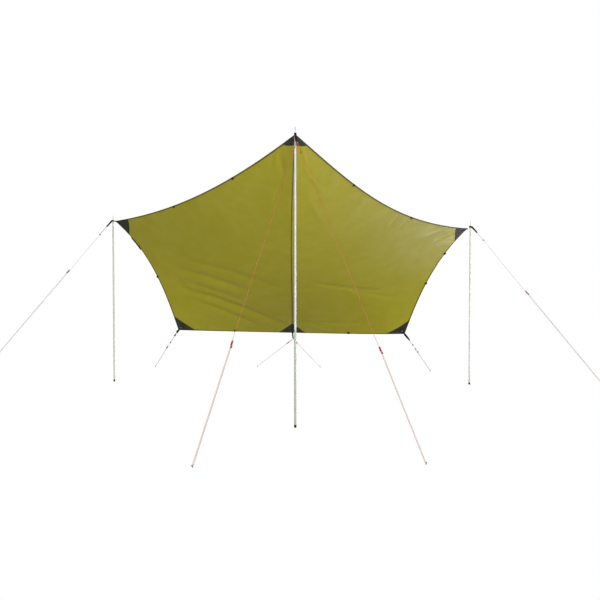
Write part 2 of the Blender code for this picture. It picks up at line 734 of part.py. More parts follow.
def runner_mesh(material):
    """A bevelled bar along X, with a bore from end to end for each of the two runs of rope."""
    shape = bmesh.new()
    size = Matrix.Diagonal((RUNNER_LENGTH, RUNNER_WIDTH, RUNNER_THICKNESS, 1))
    bmesh.ops.create_cube(shape, size=1, matrix=size)
    bmesh.ops.bevel(
        shape, geom=shape.edges[:], offset=RUNNER_BEVEL, offset_type="OFFSET", segments=1, affect="EDGES",
    )
    bar = solid("runner_bar", shape, material)
    cutters = []
    for side in (1, -1):
        bore = bmesh.new()
        place = Matrix.Translation((0, side * ROPE_BOW, 0)) @ Matrix.Rotation(math.pi / 2, 4, "Y")
        bmesh.ops.create_cone(
            bore, cap_ends=True, segments=12, radius1=RUNNER_BORE, radius2=RUNNER_BORE,
            depth=2 * RUNNER_LENGTH, matrix=place,
        )
        cutter = solid("runner_bore", bore, material)
        cut = bar.modifiers.new("bore", "BOOLEAN")
        cut.operation = "DIFFERENCE"
        cut.solver = "EXACT"
        cut.object = cutter
        cutters.append(cutter)
    bpy.context.view_layer.update()
    mesh = bpy.data.meshes.new_from_object(bar.evaluated_get(bpy.context.evaluated_depsgraph_get()))
    for helper in (bar, *cutters):
        bpy.data.objects.remove(helper)
    return mesh


def add_runner(name, mesh, material):
    start, _, direction, level, _ = guy_frame(name)
    runner = add_object(f"{name}_guy_runner", mesh, material)
    middle = start + direction * runner_place(name) - level * ROPE_BOW
    turn = Matrix((direction, level, direction.cross(level))).transposed().to_4x4()
    runner.matrix_world = Matrix.Translation(middle) @ turn
    return runner


def peg_mesh(material):
    """A nail peg that leans towards +X. What is in the ground is left out, so it is cut level."""
    top = PEG_HEIGHT / math.cos(PEG_LEAN)
    peg = turned(
        "peg",
        (
            (0, -PEG_HEIGHT),
            (PEG_SHAFT, -PEG_HEIGHT),
            (PEG_SHAFT, top - PEG_HEAD_THICKNESS),
            (PEG_HEAD, top - PEG_HEAD_THICKNESS),
            (PEG_HEAD, top - CHAMFER),
            (PEG_HEAD - CHAMFER, top),
            (0, top),
        ),
        material,
    )
    shape = bmesh.new()
    shape.from_mesh(peg.data)
    bpy.data.objects.remove(peg)
    bmesh.ops.rotate(shape, cent=(0, 0, 0), matrix=Matrix.Rotation(PEG_LEAN, 3, "Y"), verts=shape.verts)
    cut = bmesh.ops.bisect_plane(
        shape, geom=shape.verts[:] + shape.edges[:] + shape.faces[:],
        plane_co=(0, 0, 0), plane_no=(0, 0, 1), clear_inner=True,
    )
    rim = [edge for edge in cut["geom_cut"] if isinstance(edge, bmesh.types.BMEdge)]
    bmesh.ops.contextual_create(shape, geom=rim)
    whole = solid("peg", shape, material, 35)
    mesh = whole.data
    bpy.data.objects.remove(whole)
    return mesh


def add_peg(name, mesh, material):
    start = guy_frame(name)[0]
    x, y = GUYS[name][2]
    peg = add_object(f"{name}_guy_peg", mesh, material)
    peg.location = (x, y, 0)
    peg.rotation_euler.z = math.atan2(y - start.y, x - start.x)
    return peg


POLE_OF = {"apex": "centre", "left_wing": "left", "right_wing": "right"}
LEFT = Panel(
    -1, LEFT_WING, REAR_LEFT, (LEFT_FRONT_BOW, LEFT_FRONT_LEAN),
    (LEFT_WING_BOW, LEFT_WING_LEAN), (LEFT_REAR_BOW, LEFT_REAR_LEAN), LEFT_FOLDS,
)
RIGHT = Panel(
    1, RIGHT_WING, REAR_RIGHT, (RIGHT_FRONT_BOW, RIGHT_FRONT_LEAN),
    (RIGHT_WING_BOW, RIGHT_WING_LEAN), (RIGHT_REAR_BOW, RIGHT_REAR_LEAN), RIGHT_FOLDS,
)


def main():
    for old in list(bpy.data.objects):
        bpy.data.objects.remove(old)
    finishes = {
        "cloth": finish("olive cloth", (142, 136, 48), 0.62),
        "patch": finish("dark patch cloth", (50, 50, 45), 0.7),
        "webbing": finish("black webbing", (28, 28, 28), 0.75),
        "binding": finish("olive binding", (80, 75, 30), 0.7),
        "tape": finish("seam tape", (92, 80, 38), 0.55),
        "steel": finish("galvanised steel", (196, 200, 188), 0.35, 0.6),
        "rubber": finish("black rubber", (24, 24, 24), 0.8),
        "eyelet": finish("plated eyelet", (150, 150, 150), 0.3, 1.0),
        "rope": finish("red and white rope", (225, 160, 150), 0.8),
        "runner": finish("red plastic", (170, 50, 40), 0.45),
        "peg": finish("steel peg", (90, 92, 95), 0.4, 1.0),
    }
    mitre_seam()
    add_panel("left_panel", LEFT, finishes["cloth"])
    add_panel("right_panel", RIGHT, finishes["cloth"])
    add_seam_tape(finishes["tape"])
    add_binding("left_edge_binding", LEFT, LEFT_LOOPS, finishes["binding"])
    add_binding("right_edge_binding", RIGHT, RIGHT_LOOPS, finishes["binding"])
    add_patches(finishes["patch"])
    for corner in STRAP_ENDS:
        add_strap(corner, POLE_OF.get(corner), finishes["webbing"])
    for corner, pole in POLE_OF.items():
        add_pole(pole, corner, finishes)
    runner, peg = runner_mesh(finishes["runner"]), peg_mesh(finishes["peg"])
    for name in GUYS:
        add_rope(name, finishes["rope"])
        add_runner(name, runner, finishes["runner"])
        add_peg(name, peg, finishes["peg"])


main()
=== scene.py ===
# A camping tarp pitched on three steel poles: its cloth, sewn edges, webbing, guys, runners and pegs.
import math

import bmesh
import bpy
import numpy as np
from mathutils import Matrix


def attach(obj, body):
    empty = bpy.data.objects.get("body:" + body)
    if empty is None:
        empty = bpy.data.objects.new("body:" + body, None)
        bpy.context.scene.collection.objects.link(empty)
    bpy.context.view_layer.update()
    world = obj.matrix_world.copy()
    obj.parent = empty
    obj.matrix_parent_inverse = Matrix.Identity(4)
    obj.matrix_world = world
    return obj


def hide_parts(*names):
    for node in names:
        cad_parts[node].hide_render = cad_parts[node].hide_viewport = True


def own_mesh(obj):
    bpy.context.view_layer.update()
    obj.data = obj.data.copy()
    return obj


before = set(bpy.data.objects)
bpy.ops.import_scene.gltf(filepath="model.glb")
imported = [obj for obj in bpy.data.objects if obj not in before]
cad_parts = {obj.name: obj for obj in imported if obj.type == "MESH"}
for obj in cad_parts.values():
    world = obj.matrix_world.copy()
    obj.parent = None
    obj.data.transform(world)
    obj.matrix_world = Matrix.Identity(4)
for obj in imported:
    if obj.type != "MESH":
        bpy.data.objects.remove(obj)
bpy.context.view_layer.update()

MM = 0.001
ROOT = "pitched_tarp"
ASIDE, AHEAD, UP = np.eye(3)

# The camera that saw the tarp
LENS, SENSOR = 48, 36
CAMERA_PLACE = (0.0405, -6.801, 1.330)
CAMERA_PITCH = math.radians(2.0045)

# Lights: their place, what they face, size and power. The room's and the floor's brightness are what
# the object sees: to the camera both are plain white.
LIGHTS = {
    "key": ((1.5, -9.0, 3.0), (0, 2.5, 1.4), 3.0, 1150),
    "back": ((-1.5, 8.5, 12.0), (0, 2.5, 1.4), 5.0, 380),
    "sheen": ((2.9, 4.0, 0.05), (1.1, 2.1, 1.5), 5.0, 900),
}
ROOM_LIGHT, FLOOR_GLOW = 0.36, 0.18
FLOOR_REACH, FLOOR_LEVEL = 40.0, -0.5 * MM
WHITE, PALE_GREY, BLACK = (1, 1, 1, 1), (0.8, 0.8, 0.8, 1), (0, 0, 0, 1)

# Corners of the pitched cloth
APEX = np.array((0.0, 0.040, 2.500))
LEFT_WING = np.array((-2.187, 2.880, 1.945))
RIGHT_WING = np.array((2.005, 2.611, 1.841))
REAR_LEFT = np.array((-1.541, 3.600, 0.575))
REAR_RIGHT = np.array((1.372, 3.360, 0.544))
REAR_MIDDLE = np.array((-0.057, 3.720, 0.532))

# Each edge is a shallow curve: how far its middle bows in, and how the bow leans along it
SEAM_BOW, SEAM_LEAN = np.array((-0.024, 0.0, -0.045)), -0.6
LEFT_BOWS = {"front": (0.152, 0.15), "wing": (0.112, -0.32), "rear": (-0.003, 0.0)}
RIGHT_BOWS = {"front": (0.219, 0.39), "wing": (0.091, -0.26), "rear": (-0.016, 0.6)}
FRONT_LENGTH, REAR_LENGTH = 3.6, 1.5
SEAM_LENGTH, WING_LENGTH = 4.2, 1.7
STEP = 1e-3

# Folds from one place on the cloth to another, with their height and half width in millimetres. u runs
# from the seam to the wing's edge and v from the front to the rear.
LEFT_FOLDS = (
    ((0.719, 0.400), (0.131, 0.650), 11, 62),
    ((0.831, 0.455), (0.350, 0.665), 18, 68),
    ((0.850, 0.560), (0.419, 0.730), 14, 62),
    ((0.850, 0.625), (0.106, 0.930), 28, 72),
    ((0.800, 0.725), (0.300, 0.940), 13, 50),
    ((0.075, 0.015), (0.056, 0.110), 10, 40),
    ((0.056, 0.110), (0.100, 0.190), 9, 50),
    ((0.106, 0.010), (0.125, 0.060), 6, 30),
)
RIGHT_FOLDS = (
    ((0.206, 0.615), (0.700, 0.605), 12, 46),
    ((0.506, 0.630), (0.825, 0.655), 9, 42),
    ((0.069, 0.920), (0.594, 0.900), 10, 55),
    ((0.106, 0.185), (0.188, 0.245), -8, 80),
    ((0.044, 0.020), (0.081, 0.095), -5, 34),
    ((0.081, 0.095), (0.181, 0.120), -5, 40),
    ((0.125, 0.015), (0.094, 0.060), 4, 24),
    ((0.213, 0.010), (0.169, 0.070), 5, 28),
    ((0.281, 0.010), (0.250, 0.075), 5, 30),
    ((0.413, 0.010), (0.381, 0.080), 5, 30),
    ((0.463, 0.015), (0.419, 0.095), 5, 30),
    ((0.638, 0.010), (0.619, 0.100), 4, 26),
    ((0.700, 0.010), (0.675, 0.090), 4, 26),
    ((0.894, 0.155), (0.963, 0.045), 4, 22),
    ((0.825, 0.130), (0.913, 0.010), 4, 24),
)
FOLD_CLEAR_OF_EDGE, FOLD_FADE = 45 * MM, 0.15

# Cloth and what is sewn on it. NEAR and FAR are levels: distances off the middle of the cloth, towards
# the ground.
CLOTH_HALF = 0.3 * MM
CLOTH_COLUMNS, CLOTH_ROWS = 150, 220
BINDING_WIDTH, BINDING_STITCHES_IN, BINDING_LAP = 14 * MM, 3 * MM, 0.12 * MM
BINDING_NEAR, BINDING_FAR, BINDING_NOSE = 0.5 * MM, 1.3 * MM, 1.4 * MM
TAPE_HALF_WIDTH, TAPE_STITCHES_IN, TAPE_ENDS = 9 * MM, 2 * MM, (0.004, 0.996)
TAPE_NEAR, TAPE_FAR = 0.6 * MM, 1.1 * MM
PATCH_NEAR, PATCH_FAR = 1.7 * MM, 2.5 * MM
PATCH_LENGTH, PATCH_BREADTH = 0.3, 0.4
PATCH_COLUMNS, PATCH_REACHES = 17, np.concatenate(([0.05], np.linspace(0.12, 1.0, 16)))
PATCH_STITCHES_AT, PATCH_STITCH_EVERY, PATCH_STITCH_LENGTH = (0.955, 0.915), 5 * MM, 3.4 * MM
EDGE_STATION_EVERY, EDGE_SAMPLES = 20 * MM, 200

# Thread: length and gap of a stitch, its width and how proud it stands
STITCH_EVERY, STITCH_LENGTH = 7 * MM, 4.8 * MM
STITCH_WIDTH, STITCH_PROUD = 0.8 * MM, 0.35 * MM

# Loops under the hem, as shares of the edge that they are sewn to, with their width, their depth and
# how far they stand past the edge
LEFT_LOOPS = {"front": (0.325, 0.662), "wing": (0.246, 0.521), "rear": (0.508,)}
RIGHT_LOOPS = {"front": (0.350, 0.708), "wing": (0.250, 0.531), "rear": (0.508,)}
LOOP_SIZES = {
    "front": (20 * MM, 28 * MM, 5 * MM),
    "wing": (26 * MM, 28 * MM, 7 * MM),
    "rear": (22 * MM, 44 * MM, -2 * MM),
}
HEM_STRIP, HEM_STRIP_INSETS, HEM_STRIP_LEVEL = (0.160, 0.275), (-13 * MM, -4 * MM, 5 * MM), 2 * MM
LOOP_WALL, LOOP_HALF_HEIGHT, LOOP_LEVEL = 1.6 * MM, 4.5 * MM, 2.0 * MM

# Corner patches: the panel, and the change in u and v along each of its two sides
PATCHES = {
    "apex": ((0, 0), (("left", (0.063, 0), (0, 0.032)), ("right", (0, 0.032), (0.066, 0))), 0.12),
    "left_wing": ((1, 0), (("left", (-0.072, 0), (0, 0.134)),), 0.06),
    "right_wing": ((1, 0), (("right", (-0.054, 0), (0, 0.128)),), 0.06),
    "rear_left": ((1, 1), (("left", (0, -0.130), (-0.152, 0)),), -0.04),
    "rear_right": ((1, 1), (("right", (0, -0.134), (-0.170, 0)),), -0.12),
    "rear_middle": ((0, 1), (("left", (0.120, 0), (0, -0.074)), ("right", (0, -0.074), (0.120, 0))), 0.0),
}

# Webbing straps at the corners
STRAP_WIDTH, STRAP_THICKNESS = 20 * MM, 1.8 * MM
STRAP_END_WIDTH, STRAP_TAPER, STRAP_ROLL = 14 * MM, 15 * MM, 2.6 * MM
STRAP_SEWN_USUAL, STRAP_SEWN = 85 * MM, {"apex": 128 * MM, "rear_middle": 290 * MM}
STRAP_SEWN_STEPS, STRAP_SEWN_END = 6, 8 * MM
STRAP_STEPS = 5
STRAP_STITCHES_OUT, STRAP_STITCH_EVERY, STRAP_STITCH_LENGTH = 7.5 * MM, 4 * MM, 2.8 * MM
STRAP_SEWN_LEVEL, STRAP_OFF_LEVEL = 3.6 * MM, 7.4 * MM
STRAP_OFF_CLOTH, STRAP_HOLE_REACH = 12 * MM, 6 * MM
STRAP_FLAT = (12 * MM, 6 * MM, -6 * MM, -12 * MM)
REAR_TURN, WING_TURN = (18 * MM, 29 * MM), (14 * MM, 22 * MM)
STRAP_TURNS = {
    "rear_left": REAR_TURN, "rear_right": REAR_TURN, "left_wing": WING_TURN, "right_wing": WING_TURN
}
STRAP_TAPERED_WIDTH = 18 * MM
STRAP_STAYS_FLAT = {"left_wing": 0.6}
STRAP_ENDS = {
    "apex": np.array((0.010, -0.045, 2.426)),
    "left_wing": np.array((-2.301, 2.912, 1.877)),
    "right_wing": np.array((2.121, 2.623, 1.794)),
    "rear_left": np.array((-1.603, 3.660, 0.492)),
    "rear_right": np.array((1.451, 3.460, 0.453)),
    "rear_middle": np.array((-0.050, 3.800, 0.444)),
}
POLE_OF = {"apex": "centre", "left_wing": "left", "right_wing": "right"}

# Wire links that join two lengths of webbing: finish, distances from the corner, half width and wire
LINKS = {
    "right_wing": ("link", 3 * MM, 25 * MM, 8 * MM, 1.6 * MM),
    "rear_left": ("dark_link", 50 * MM, 88 * MM, 5 * MM, 2.4 * MM),
}
CORNER_EYELETS, CORNER_EYELET_SUNK = ("rear_left", "rear_right"), 0.3 * MM
CORNER_EYELET_IN, CORNER_EYELET_RADIUS, CORNER_EYELET_BORE = 50 * MM, 9 * MM, 4.5 * MM

# Poles: the place on the ground and the height of the eyelet on the spike, then the finishes of the
# tubes from the ground up
POLES = {
    "centre": np.array((0.0, 0.0, 2.503)),
    "left": np.array((-2.218, 2.892, 1.956)),
    "right": np.array((2.043, 2.623, 1.867)),
}
SECTIONS, USUAL_TUBES = ("lower", "middle", "upper"), ("steel", "steel", "steel")
# The centre pole's tubes take copies of the zinc steel with painted light: the lower tube a darker, greener
# one, as painted shade and a painted green reflection, and the upper tubes a neutral grey one, as a painted
# reflection.
TUBES = {"centre": ("steel_painted_shade", "steel_painted_reflection", "steel_painted_reflection")}
TUBE_OUTER, TUBE_INNER = 9.5 * MM, 8.6 * MM
SWAGE_OUTER, SWAGE_INNER = 8.3 * MM, 7.5 * MM
SWAGE_LENGTH, SWAGE_STEP = 45 * MM, 1.2 * MM
FOOT_OUTER, FOOT_INNER, FOOT_HEIGHT, FOOT_FLOOR = 11.0 * MM, 9.8 * MM, 24 * MM, 6 * MM
FOOT_TOE, FOOT_RINGS = 4 * MM, (8 * MM, 13 * MM, 18 * MM)
FOOT_RING = ((0, 0), (0.8, 0.5), (1.6, 0.5), (2.4, 0))
FIT = 0.3 * MM
PIN_RADIUS, PIN_ABOVE_EYELET = 2.6 * MM, 56 * MM
SHOULDER_THICKNESS, PLUG_LENGTH = 5 * MM, 25 * MM
COLLAR_WALL, COLLAR_GAP = 1.6 * MM, 0.6 * MM
COLLAR_HEIGHT = {"centre": 5 * MM, "left": 17 * MM, "right": 17 * MM}
EYELET_BORE, EYELET_NECK, EYELET_FLANGE = 3.6 * MM, 6.0 * MM, 9.0 * MM
EYELET_INNER, EYELET_OUTER = 1.3 * MM, 2.3 * MM

# Guys: the strap that each hangs from, its place across the strap's end, its peg on the ground, its
# runner and the knot of its tie, as shares of the way from the strap to the peg
GUYS = {
    "front_left": ("apex", -4 * MM, (-0.689, -1.406), 0.668, 0.038),
    "front_right": ("apex", 4 * MM, (0.907, -1.324), 0.688, 0.037),
    "left": ("left_wing", 0, (-4.150, 3.733), 0.285, 0.045),
    "right": ("right_wing", 0, (3.550, 2.393), 0.390, 0.047),
    "rear_left": ("rear_left", 0, (-1.976, 4.321), 0.342, 0.196),
    "rear_middle_left": ("rear_middle", -4 * MM, (-0.554, 4.380), 0.107, 0.045),
    "rear_middle_right": ("rear_middle", 4 * MM, (0.318, 4.298), 0.110, 0.045),
    "rear_right": ("rear_right", 0, (1.780, 3.861), 0.279, 0.140),
}
ROPE_RADIUS, ROPE_BOW, BOW_ABOVE_GROUND = 1.5 * MM, 4.2 * MM, 9 * MM
ROPE_LEAD, ROPE_CLEAR = 8 * MM, 0.4 * MM
ROPE_SIDES, BOW_POINTS = 12, 12
TIE_STEPS, STRAND_STEPS, TURNING_STEPS, KNOT_STEPS = 8, 12, 10, 12
RUNNER_LENGTH, RUNNER_WIDTH, RUNNER_THICKNESS = 38 * MM, 16.4 * MM, 9.5 * MM
RUNNER_BORE, RUNNER_WAIST, RUNNER_DIP, RUNNER_END = 1.9 * MM, 0.9 * MM, 0.3 * MM, 0.55
RUNNER_RIB, RUNNER_RIB_EVERY, RUNNER_RIBBED = 0.25 * MM, RUNNER_LENGTH / 15, 0.4
KNOT_TURNS, KNOT_RADIUS, KNOT_TAIL = 5, 6.4 * MM, ((2, 0.6), (6, 2.5), (13, 6))
KNOT_BELOW_USUAL, KNOT_BELOW_RUNNER = 2 * MM, {"rear_right": 40 * MM}
TAIL_UNDER_RUNNER, TAIL_OVER_RUNNER = 1 * MM, 8 * MM
TIE_APART, TIE_BELLY = (3.2 * MM, 3.0 * MM), 3.0 * MM
TURNED_GUYS, QUARTER_TURN = ("left", "right", "rear_left", "rear_right"), 60 * MM

# Finishes of a guy's standing strand, its knots and its returning strand
USUAL_ROPES = ("rope", "knot_rope", "rope")
ROPES = {
    "front_left": ("front_rope", "knot_rope", "return_rope"),
    "front_right": ("front_rope", "knot_rope", "rope"),
    "right": ("rope", "knot_rope", "return_rope"),
    "rear_middle_left": ("pale_rope", "pale_knot_rope", "pale_rope"),
    "rear_middle_right": ("pale_rope", "pale_knot_rope", "pale_rope"),
}
PEG_SHAFT, PEG_HEAD, PEG_HEIGHT, PEG_HEAD_THICKNESS = 2.0 * MM, 5.5 * MM, 20 * MM, 2 * MM
PEG_LEAN = math.radians(25)


# Small vector tools
def unit(vectors):
    return vectors / np.linalg.norm(vectors, axis=-1, keepdims=True)


def dot(first, second):
    return (first * second).sum(-1, keepdims=True)


def square_to(vectors, axis):
    return unit(vectors - axis * dot(vectors, axis))


def level_unit(vector):
    """The level direction that a vector points in."""
    return unit(np.array((vector[0], vector[1], 0.0)))


def spokes(side, other, count):
    """Directions round a circle, from side towards other."""
    angles = np.arange(count)[:, None] * math.tau / count
    return side * np.cos(angles) + other * np.sin(angles)


def soft_ring(count, *powers):
    """Places round a rounded rectangle of half size one. The smaller its powers, the squarer it is."""
    angles = np.arange(count) * math.tau / count
    ways = np.cos(angles), np.sin(angles)
    return [np.sign(way) * abs(way) ** power for way, power in zip(ways, powers)]


def run_along(points):
    """The distance along a line at each of its points."""
    return np.concatenate(([0], np.cumsum(np.linalg.norm(np.diff(points, axis=0), axis=1))))


def rows_at(places, along, rows):
    """Rows at some places, read between the rows at the distances along."""
    return np.stack([np.interp(places, along, rows[:, k]) for k in range(3)], -1)


def carried(place, *axes):
    """The matrix that carries a piece from the origin to a place and its three axes."""
    return Matrix.Translation(place) @ Matrix(np.stack(axes, 1).tolist()).to_4x4()


def bowed(start, end, bow, lean, share):
    share = np.asarray(share, float)[..., None]
    return start + (end - start) * share + bow * (4 * share * (1 - share) * (1 + lean * (2 * share - 1)))


def inward(start, end, third):
    """Unit vector square to an edge of the cloth, towards a third corner."""
    return square_to(third - start, unit(end - start))


def eased(share):
    share = np.clip(share, 0, 1)
    return share * share * (3 - 2 * share)


class Panel:
    """Half of the cloth, stretched between its four curved edges and creased where it pulls."""

    def __init__(self, side, wing, rear, bows, folds):
        self.side, self.wing, self.rear, self.folds = side, wing, rear, folds
        self.lean = {edge: lean for edge, (_, lean) in bows.items()}
        self.bow = {
            "front": inward(APEX, wing, REAR_MIDDLE) * bows["front"][0],
            "wing": inward(wing, rear, REAR_MIDDLE) * bows["wing"][0],
            "rear": inward(REAR_MIDDLE, rear, APEX) * bows["rear"][0],
        }

    def flat(self, u, v):
        """The cloth without its creases, blended between its edges."""
        u, v = np.broadcast_arrays(np.asarray(u, float), np.asarray(v, float))
        front = bowed(APEX, self.wing, self.bow["front"], self.lean["front"], u)
        rear = bowed(REAR_MIDDLE, self.rear, self.bow["rear"], self.lean["rear"], u)
        seam = bowed(APEX, REAR_MIDDLE, SEAM_BOW, SEAM_LEAN, v)
        wing = bowed(self.wing, self.rear, self.bow["wing"], self.lean["wing"], v)
        u, v = u[..., None], v[..., None]
        top = APEX + (self.wing - APEX) * u
        bottom = REAR_MIDDLE + (self.rear - REAR_MIDDLE) * u
        return front * (1 - v) + rear * v + seam * (1 - u) + wing * u - top * (1 - v) - bottom * v

    def slopes(self, u, v):
        along_u = (self.flat(u + STEP, v) - self.flat(u - STEP, v)) / (2 * STEP)
        along_v = (self.flat(u, v + STEP) - self.flat(u, v - STEP)) / (2 * STEP)
        return along_u, along_v

    def normal(self, u, v):
        """Unit vector off the outer side of the cloth, up and to the rear."""
        along_u, along_v = self.slopes(u, v)
        return unit(np.cross(along_u, along_v)) * self.side

    def spans(self, u, v):
        """Width of the panel at v and its length at u."""
        width = FRONT_LENGTH + (REAR_LENGTH - FRONT_LENGTH) * v
        length = SEAM_LENGTH + (WING_LENGTH - SEAM_LENGTH) * u
        return width, length

    def fold(self, u, v, start, end, height, half_width):
        width, length = self.spans(u, v)
        across, along = (u - start[0]) * width, (v - start[1]) * length
        fold_across, fold_along = (end[0] - start[0]) * width, (end[1] - start[1]) * length
        share = (across * fold_across + along * fold_along) / (fold_across**2 + fold_along**2)
        share = np.clip(share, 0, 1)
        off = np.hypot(across - fold_across * share, along - fold_along * share) / (half_width * MM)
        fade = np.sin(np.pi * (FOLD_FADE + (1 - 2 * FOLD_FADE) * share))
        return height * MM * np.exp(-off * off) * fade

    def relief(self, u, v):
        """How far the cloth stands off its smooth shape."""
        width, length = self.spans(u, v)
        sides = (u * width, (1 - u) * width, v * length, (1 - v) * length)
        to_edge = np.minimum.reduce(sides)
        height = sum(self.fold(u, v, *fold) for fold in self.folds)
        return height * np.clip(to_edge / FOLD_CLEAR_OF_EDGE, 0, 1)

    def place(self, u, v, level=0.0):
        """Points on the cloth, level metres off its middle towards the ground."""
        u, v = np.broadcast_arrays(np.asarray(u, float), np.asarray(v, float))
        height = self.relief(u, v) - level
        return self.flat(u, v) + self.normal(u, v) * height[..., None]

    def from_edge(self, edge, share, inset):
        """u and v of places that lie inset metres in from an edge, square to it."""
        share = np.asarray(share, float)
        if edge == "wing":
            u, v = np.ones_like(share), share
            along, into = self.slopes(u, v)[::-1]
            into = -into
        else:
            u, v = share, np.full_like(share, 0.0 if edge == "front" else 1.0)
            along, into = self.slopes(u, v)
            into = into if edge == "front" else -into
        size = np.linalg.norm(along, axis=-1)
        skew = (into * along).sum(-1) / size**2
        reach = inset / np.linalg.norm(into - along * skew[..., None], axis=-1)
        if edge == "wing":
            return u - reach, v - skew * reach
        return u - skew * reach, v + (reach if edge == "front" else -reach)

    def edge_place(self, edge, share, inset, level):
        return self.place(*self.from_edge(edge, share, inset), level)


def seam_place(v, across, level):
    """Places beside the seam, across metres to the right of it. Right on it the layers are mitred."""
    v = np.asarray(v, float)
    if across:
        panel = PANELS["right" if across > 0 else "left"]
        along_u, _ = panel.slopes(np.zeros_like(v), v)
        return panel.place(abs(across) / np.linalg.norm(along_u, axis=-1), v, level)
    left, right = (panel.normal(np.zeros_like(v), v) for panel in PANELS.values())
    middle = unit(left + right)
    return PANELS["left"].flat(np.zeros_like(v), v) - middle / dot(middle, left) * level


# Shapes
class Shape:
    """Points and faces gathered for one piece. The run maps them: turns round a section and metres
    along it, or metres both ways on a sheet."""

    def __init__(self):
        self.points, self.faces, self.run = [], [], []

    def add(self, points, faces, run):
        first = len(self.points)
        self.points += np.asarray(points, float).reshape(-1, 3).tolist()
        self.faces += [[first + k for k in face] for face in faces]
        self.run += run

    def sweep(self, rings, capped=True):
        """A skin through equal rings of points, capped at its ends or closed on itself."""
        rings = np.asarray(rings, float)
        count, sides = rings.shape[:2]
        middles = rings.mean(1)
        steps = np.linalg.norm(np.roll(middles, -1, 0) - middles, axis=1)
        along = np.concatenate(([0], np.cumsum(steps)))
        faces, run = [], []
        for i in range(count - 1 if capped else count):
            j = (i + 1) % count
            for k in range(sides):
                n = (k + 1) % sides
                faces.append((i * sides + k, i * sides + n, j * sides + n, j * sides + k))
                turn, after = k / sides, (k + 1) / sides
                run += [(turn, along[i]), (after, along[i]), (after, along[i + 1]), (turn, along[i + 1])]
        for i in (0, count - 1) if capped else ():
            faces.append(range(i * sides, (i + 1) * sides))
            run += [(0.0, along[i])] * sides
        self.add(rings, faces, run)

    def sheet(self, near, far, run):
        """A closed sheet between two grids of points."""
        rows, columns = near.shape[:2]
        total = rows * columns
        index = np.arange(total).reshape(rows, columns)
        corners = (index[:-1, :-1], index[1:, :-1], index[1:, 1:], index[:-1, 1:])
        quads = np.stack(corners, -1).reshape(-1, 4)
        rim = np.concatenate((index[:-1, 0], index[-1, :-1], index[:0:-1, -1], index[0, :0:-1]))
        ahead = np.roll(rim, -1)
        walls = np.stack((rim, ahead, ahead + total, rim + total), -1)
        faces = np.concatenate((quads, quads[:, ::-1] + total, walls))
        places = run.reshape(-1, 2)[faces.reshape(-1) % total]
        self.add(np.concatenate((near.reshape(-1, 3), far.reshape(-1, 3))), faces.tolist(), places.tolist())

    def tube(self, path, radius, sides=ROPE_SIDES, closed=False):
        """A round tube along a path. Its radius is one number, or one for each point."""
        path = np.asarray(path, float)
        if closed:
            ways = unit(np.roll(path, -1, 0) - np.roll(path, 1, 0))
        else:
            ways = unit(np.concatenate((path[1:2] - path[:1], path[2:] - path[:-2], path[-1:] - path[-2:-1])))
        radii = np.broadcast_to(radius, len(path))
        side = square_to(UP if abs(ways[0][2]) < 0.9 else ASIDE, ways[0])
        rings = []
        for point, way, size in zip(path, ways, radii):
            side = square_to(side, way)
            rings.append(point + spokes(side, np.cross(way, side), sides) * size)
        self.sweep(rings, capped=not closed)

    def turn(self, outline, foot, axis=UP, closed=False, sides=48, level_foot=False):
        """A turned shape from (radius, height) points. closed joins the outline's ends into a tube's
        wall, and level_foot cuts the first ring level with the ground."""
        side = square_to(ASIDE, axis)
        round_axis = spokes(side, np.cross(axis, side), sides)
        rings = [foot + axis * height + round_axis * radius for radius, height in outline]
        if level_foot:
            rings[0] = rings[0] - axis * (rings[0][:, 2:] / axis[2])
        self.sweep(rings, capped=not closed)

    def stitches(self, line, normals, every=STITCH_EVERY, length=STITCH_LENGTH):
        """A row of stitches along a line on a surface, each a low pillow of thread."""
        line = np.asarray(line, float)
        along = run_along(line)
        middles = np.arange(every / 2, along[-1] - every / 2, every)
        if not len(middles):
            return
        centre, quarter = rows_at(middles, along, line), length / 4
        way = unit(rows_at(middles + quarter, along, line) - rows_at(middles - quarter, along, line))
        off = square_to(rows_at(middles, along, normals), way)
        across = np.cross(way, off)
        corners = []
        for height, share in ((-STITCH_PROUD / 2, 1.0), (STITCH_PROUD, 0.7)):
            for a, b in ((-1, -1), (1, -1), (1, 1), (-1, 1)):
                reach = way * (a * length / 2 * share) + across * (b * STITCH_WIDTH / 2 * share)
                corners.append(centre + reach + off * height)
        points = np.stack(corners, 1)
        box = ((0, 1, 2, 3), (4, 5, 6, 7), (0, 1, 5, 4), (1, 2, 6, 5), (2, 3, 7, 6), (3, 0, 4, 7))
        faces = [[8 * k + corner for corner in face] for k in range(len(points)) for face in box]
        self.add(points, faces, [(0.0, 0.0)] * (4 * len(faces)))


def outward(mesh):
    shape = bmesh.new()
    shape.from_mesh(mesh)
    bmesh.ops.recalc_face_normals(shape, faces=shape.faces)
    shape.to_mesh(mesh)
    shape.free()


def shape_mesh(name, shape, material, sharp=40):
    mesh = bpy.data.meshes.new(name)
    mesh.from_pydata(shape.points, [], shape.faces)
    run = mesh.uv_layers.new(name="Run")
    run.data.foreach_set("uv", np.array(shape.run, np.float32).ravel())
    mesh.materials.append(material)
    outward(mesh)
    mesh.shade_smooth()
    mesh.set_sharp_from_angle(angle=math.radians(sharp))
    return mesh


def place_piece(name, mesh, body=ROOT, replaces=(), matrix=None):
    piece = bpy.data.objects.new(name, mesh)
    bpy.context.scene.collection.objects.link(piece)
    if matrix is not None:
        piece.matrix_world = matrix
    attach(piece, body)
    if replaces:
        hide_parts(*replaces)
    return piece


def add_piece(name, shape, finish, body=ROOT, replaces=(), sharp=40):
    return place_piece(name, shape_mesh(name, shape, FINISHES[finish], sharp), body, replaces)


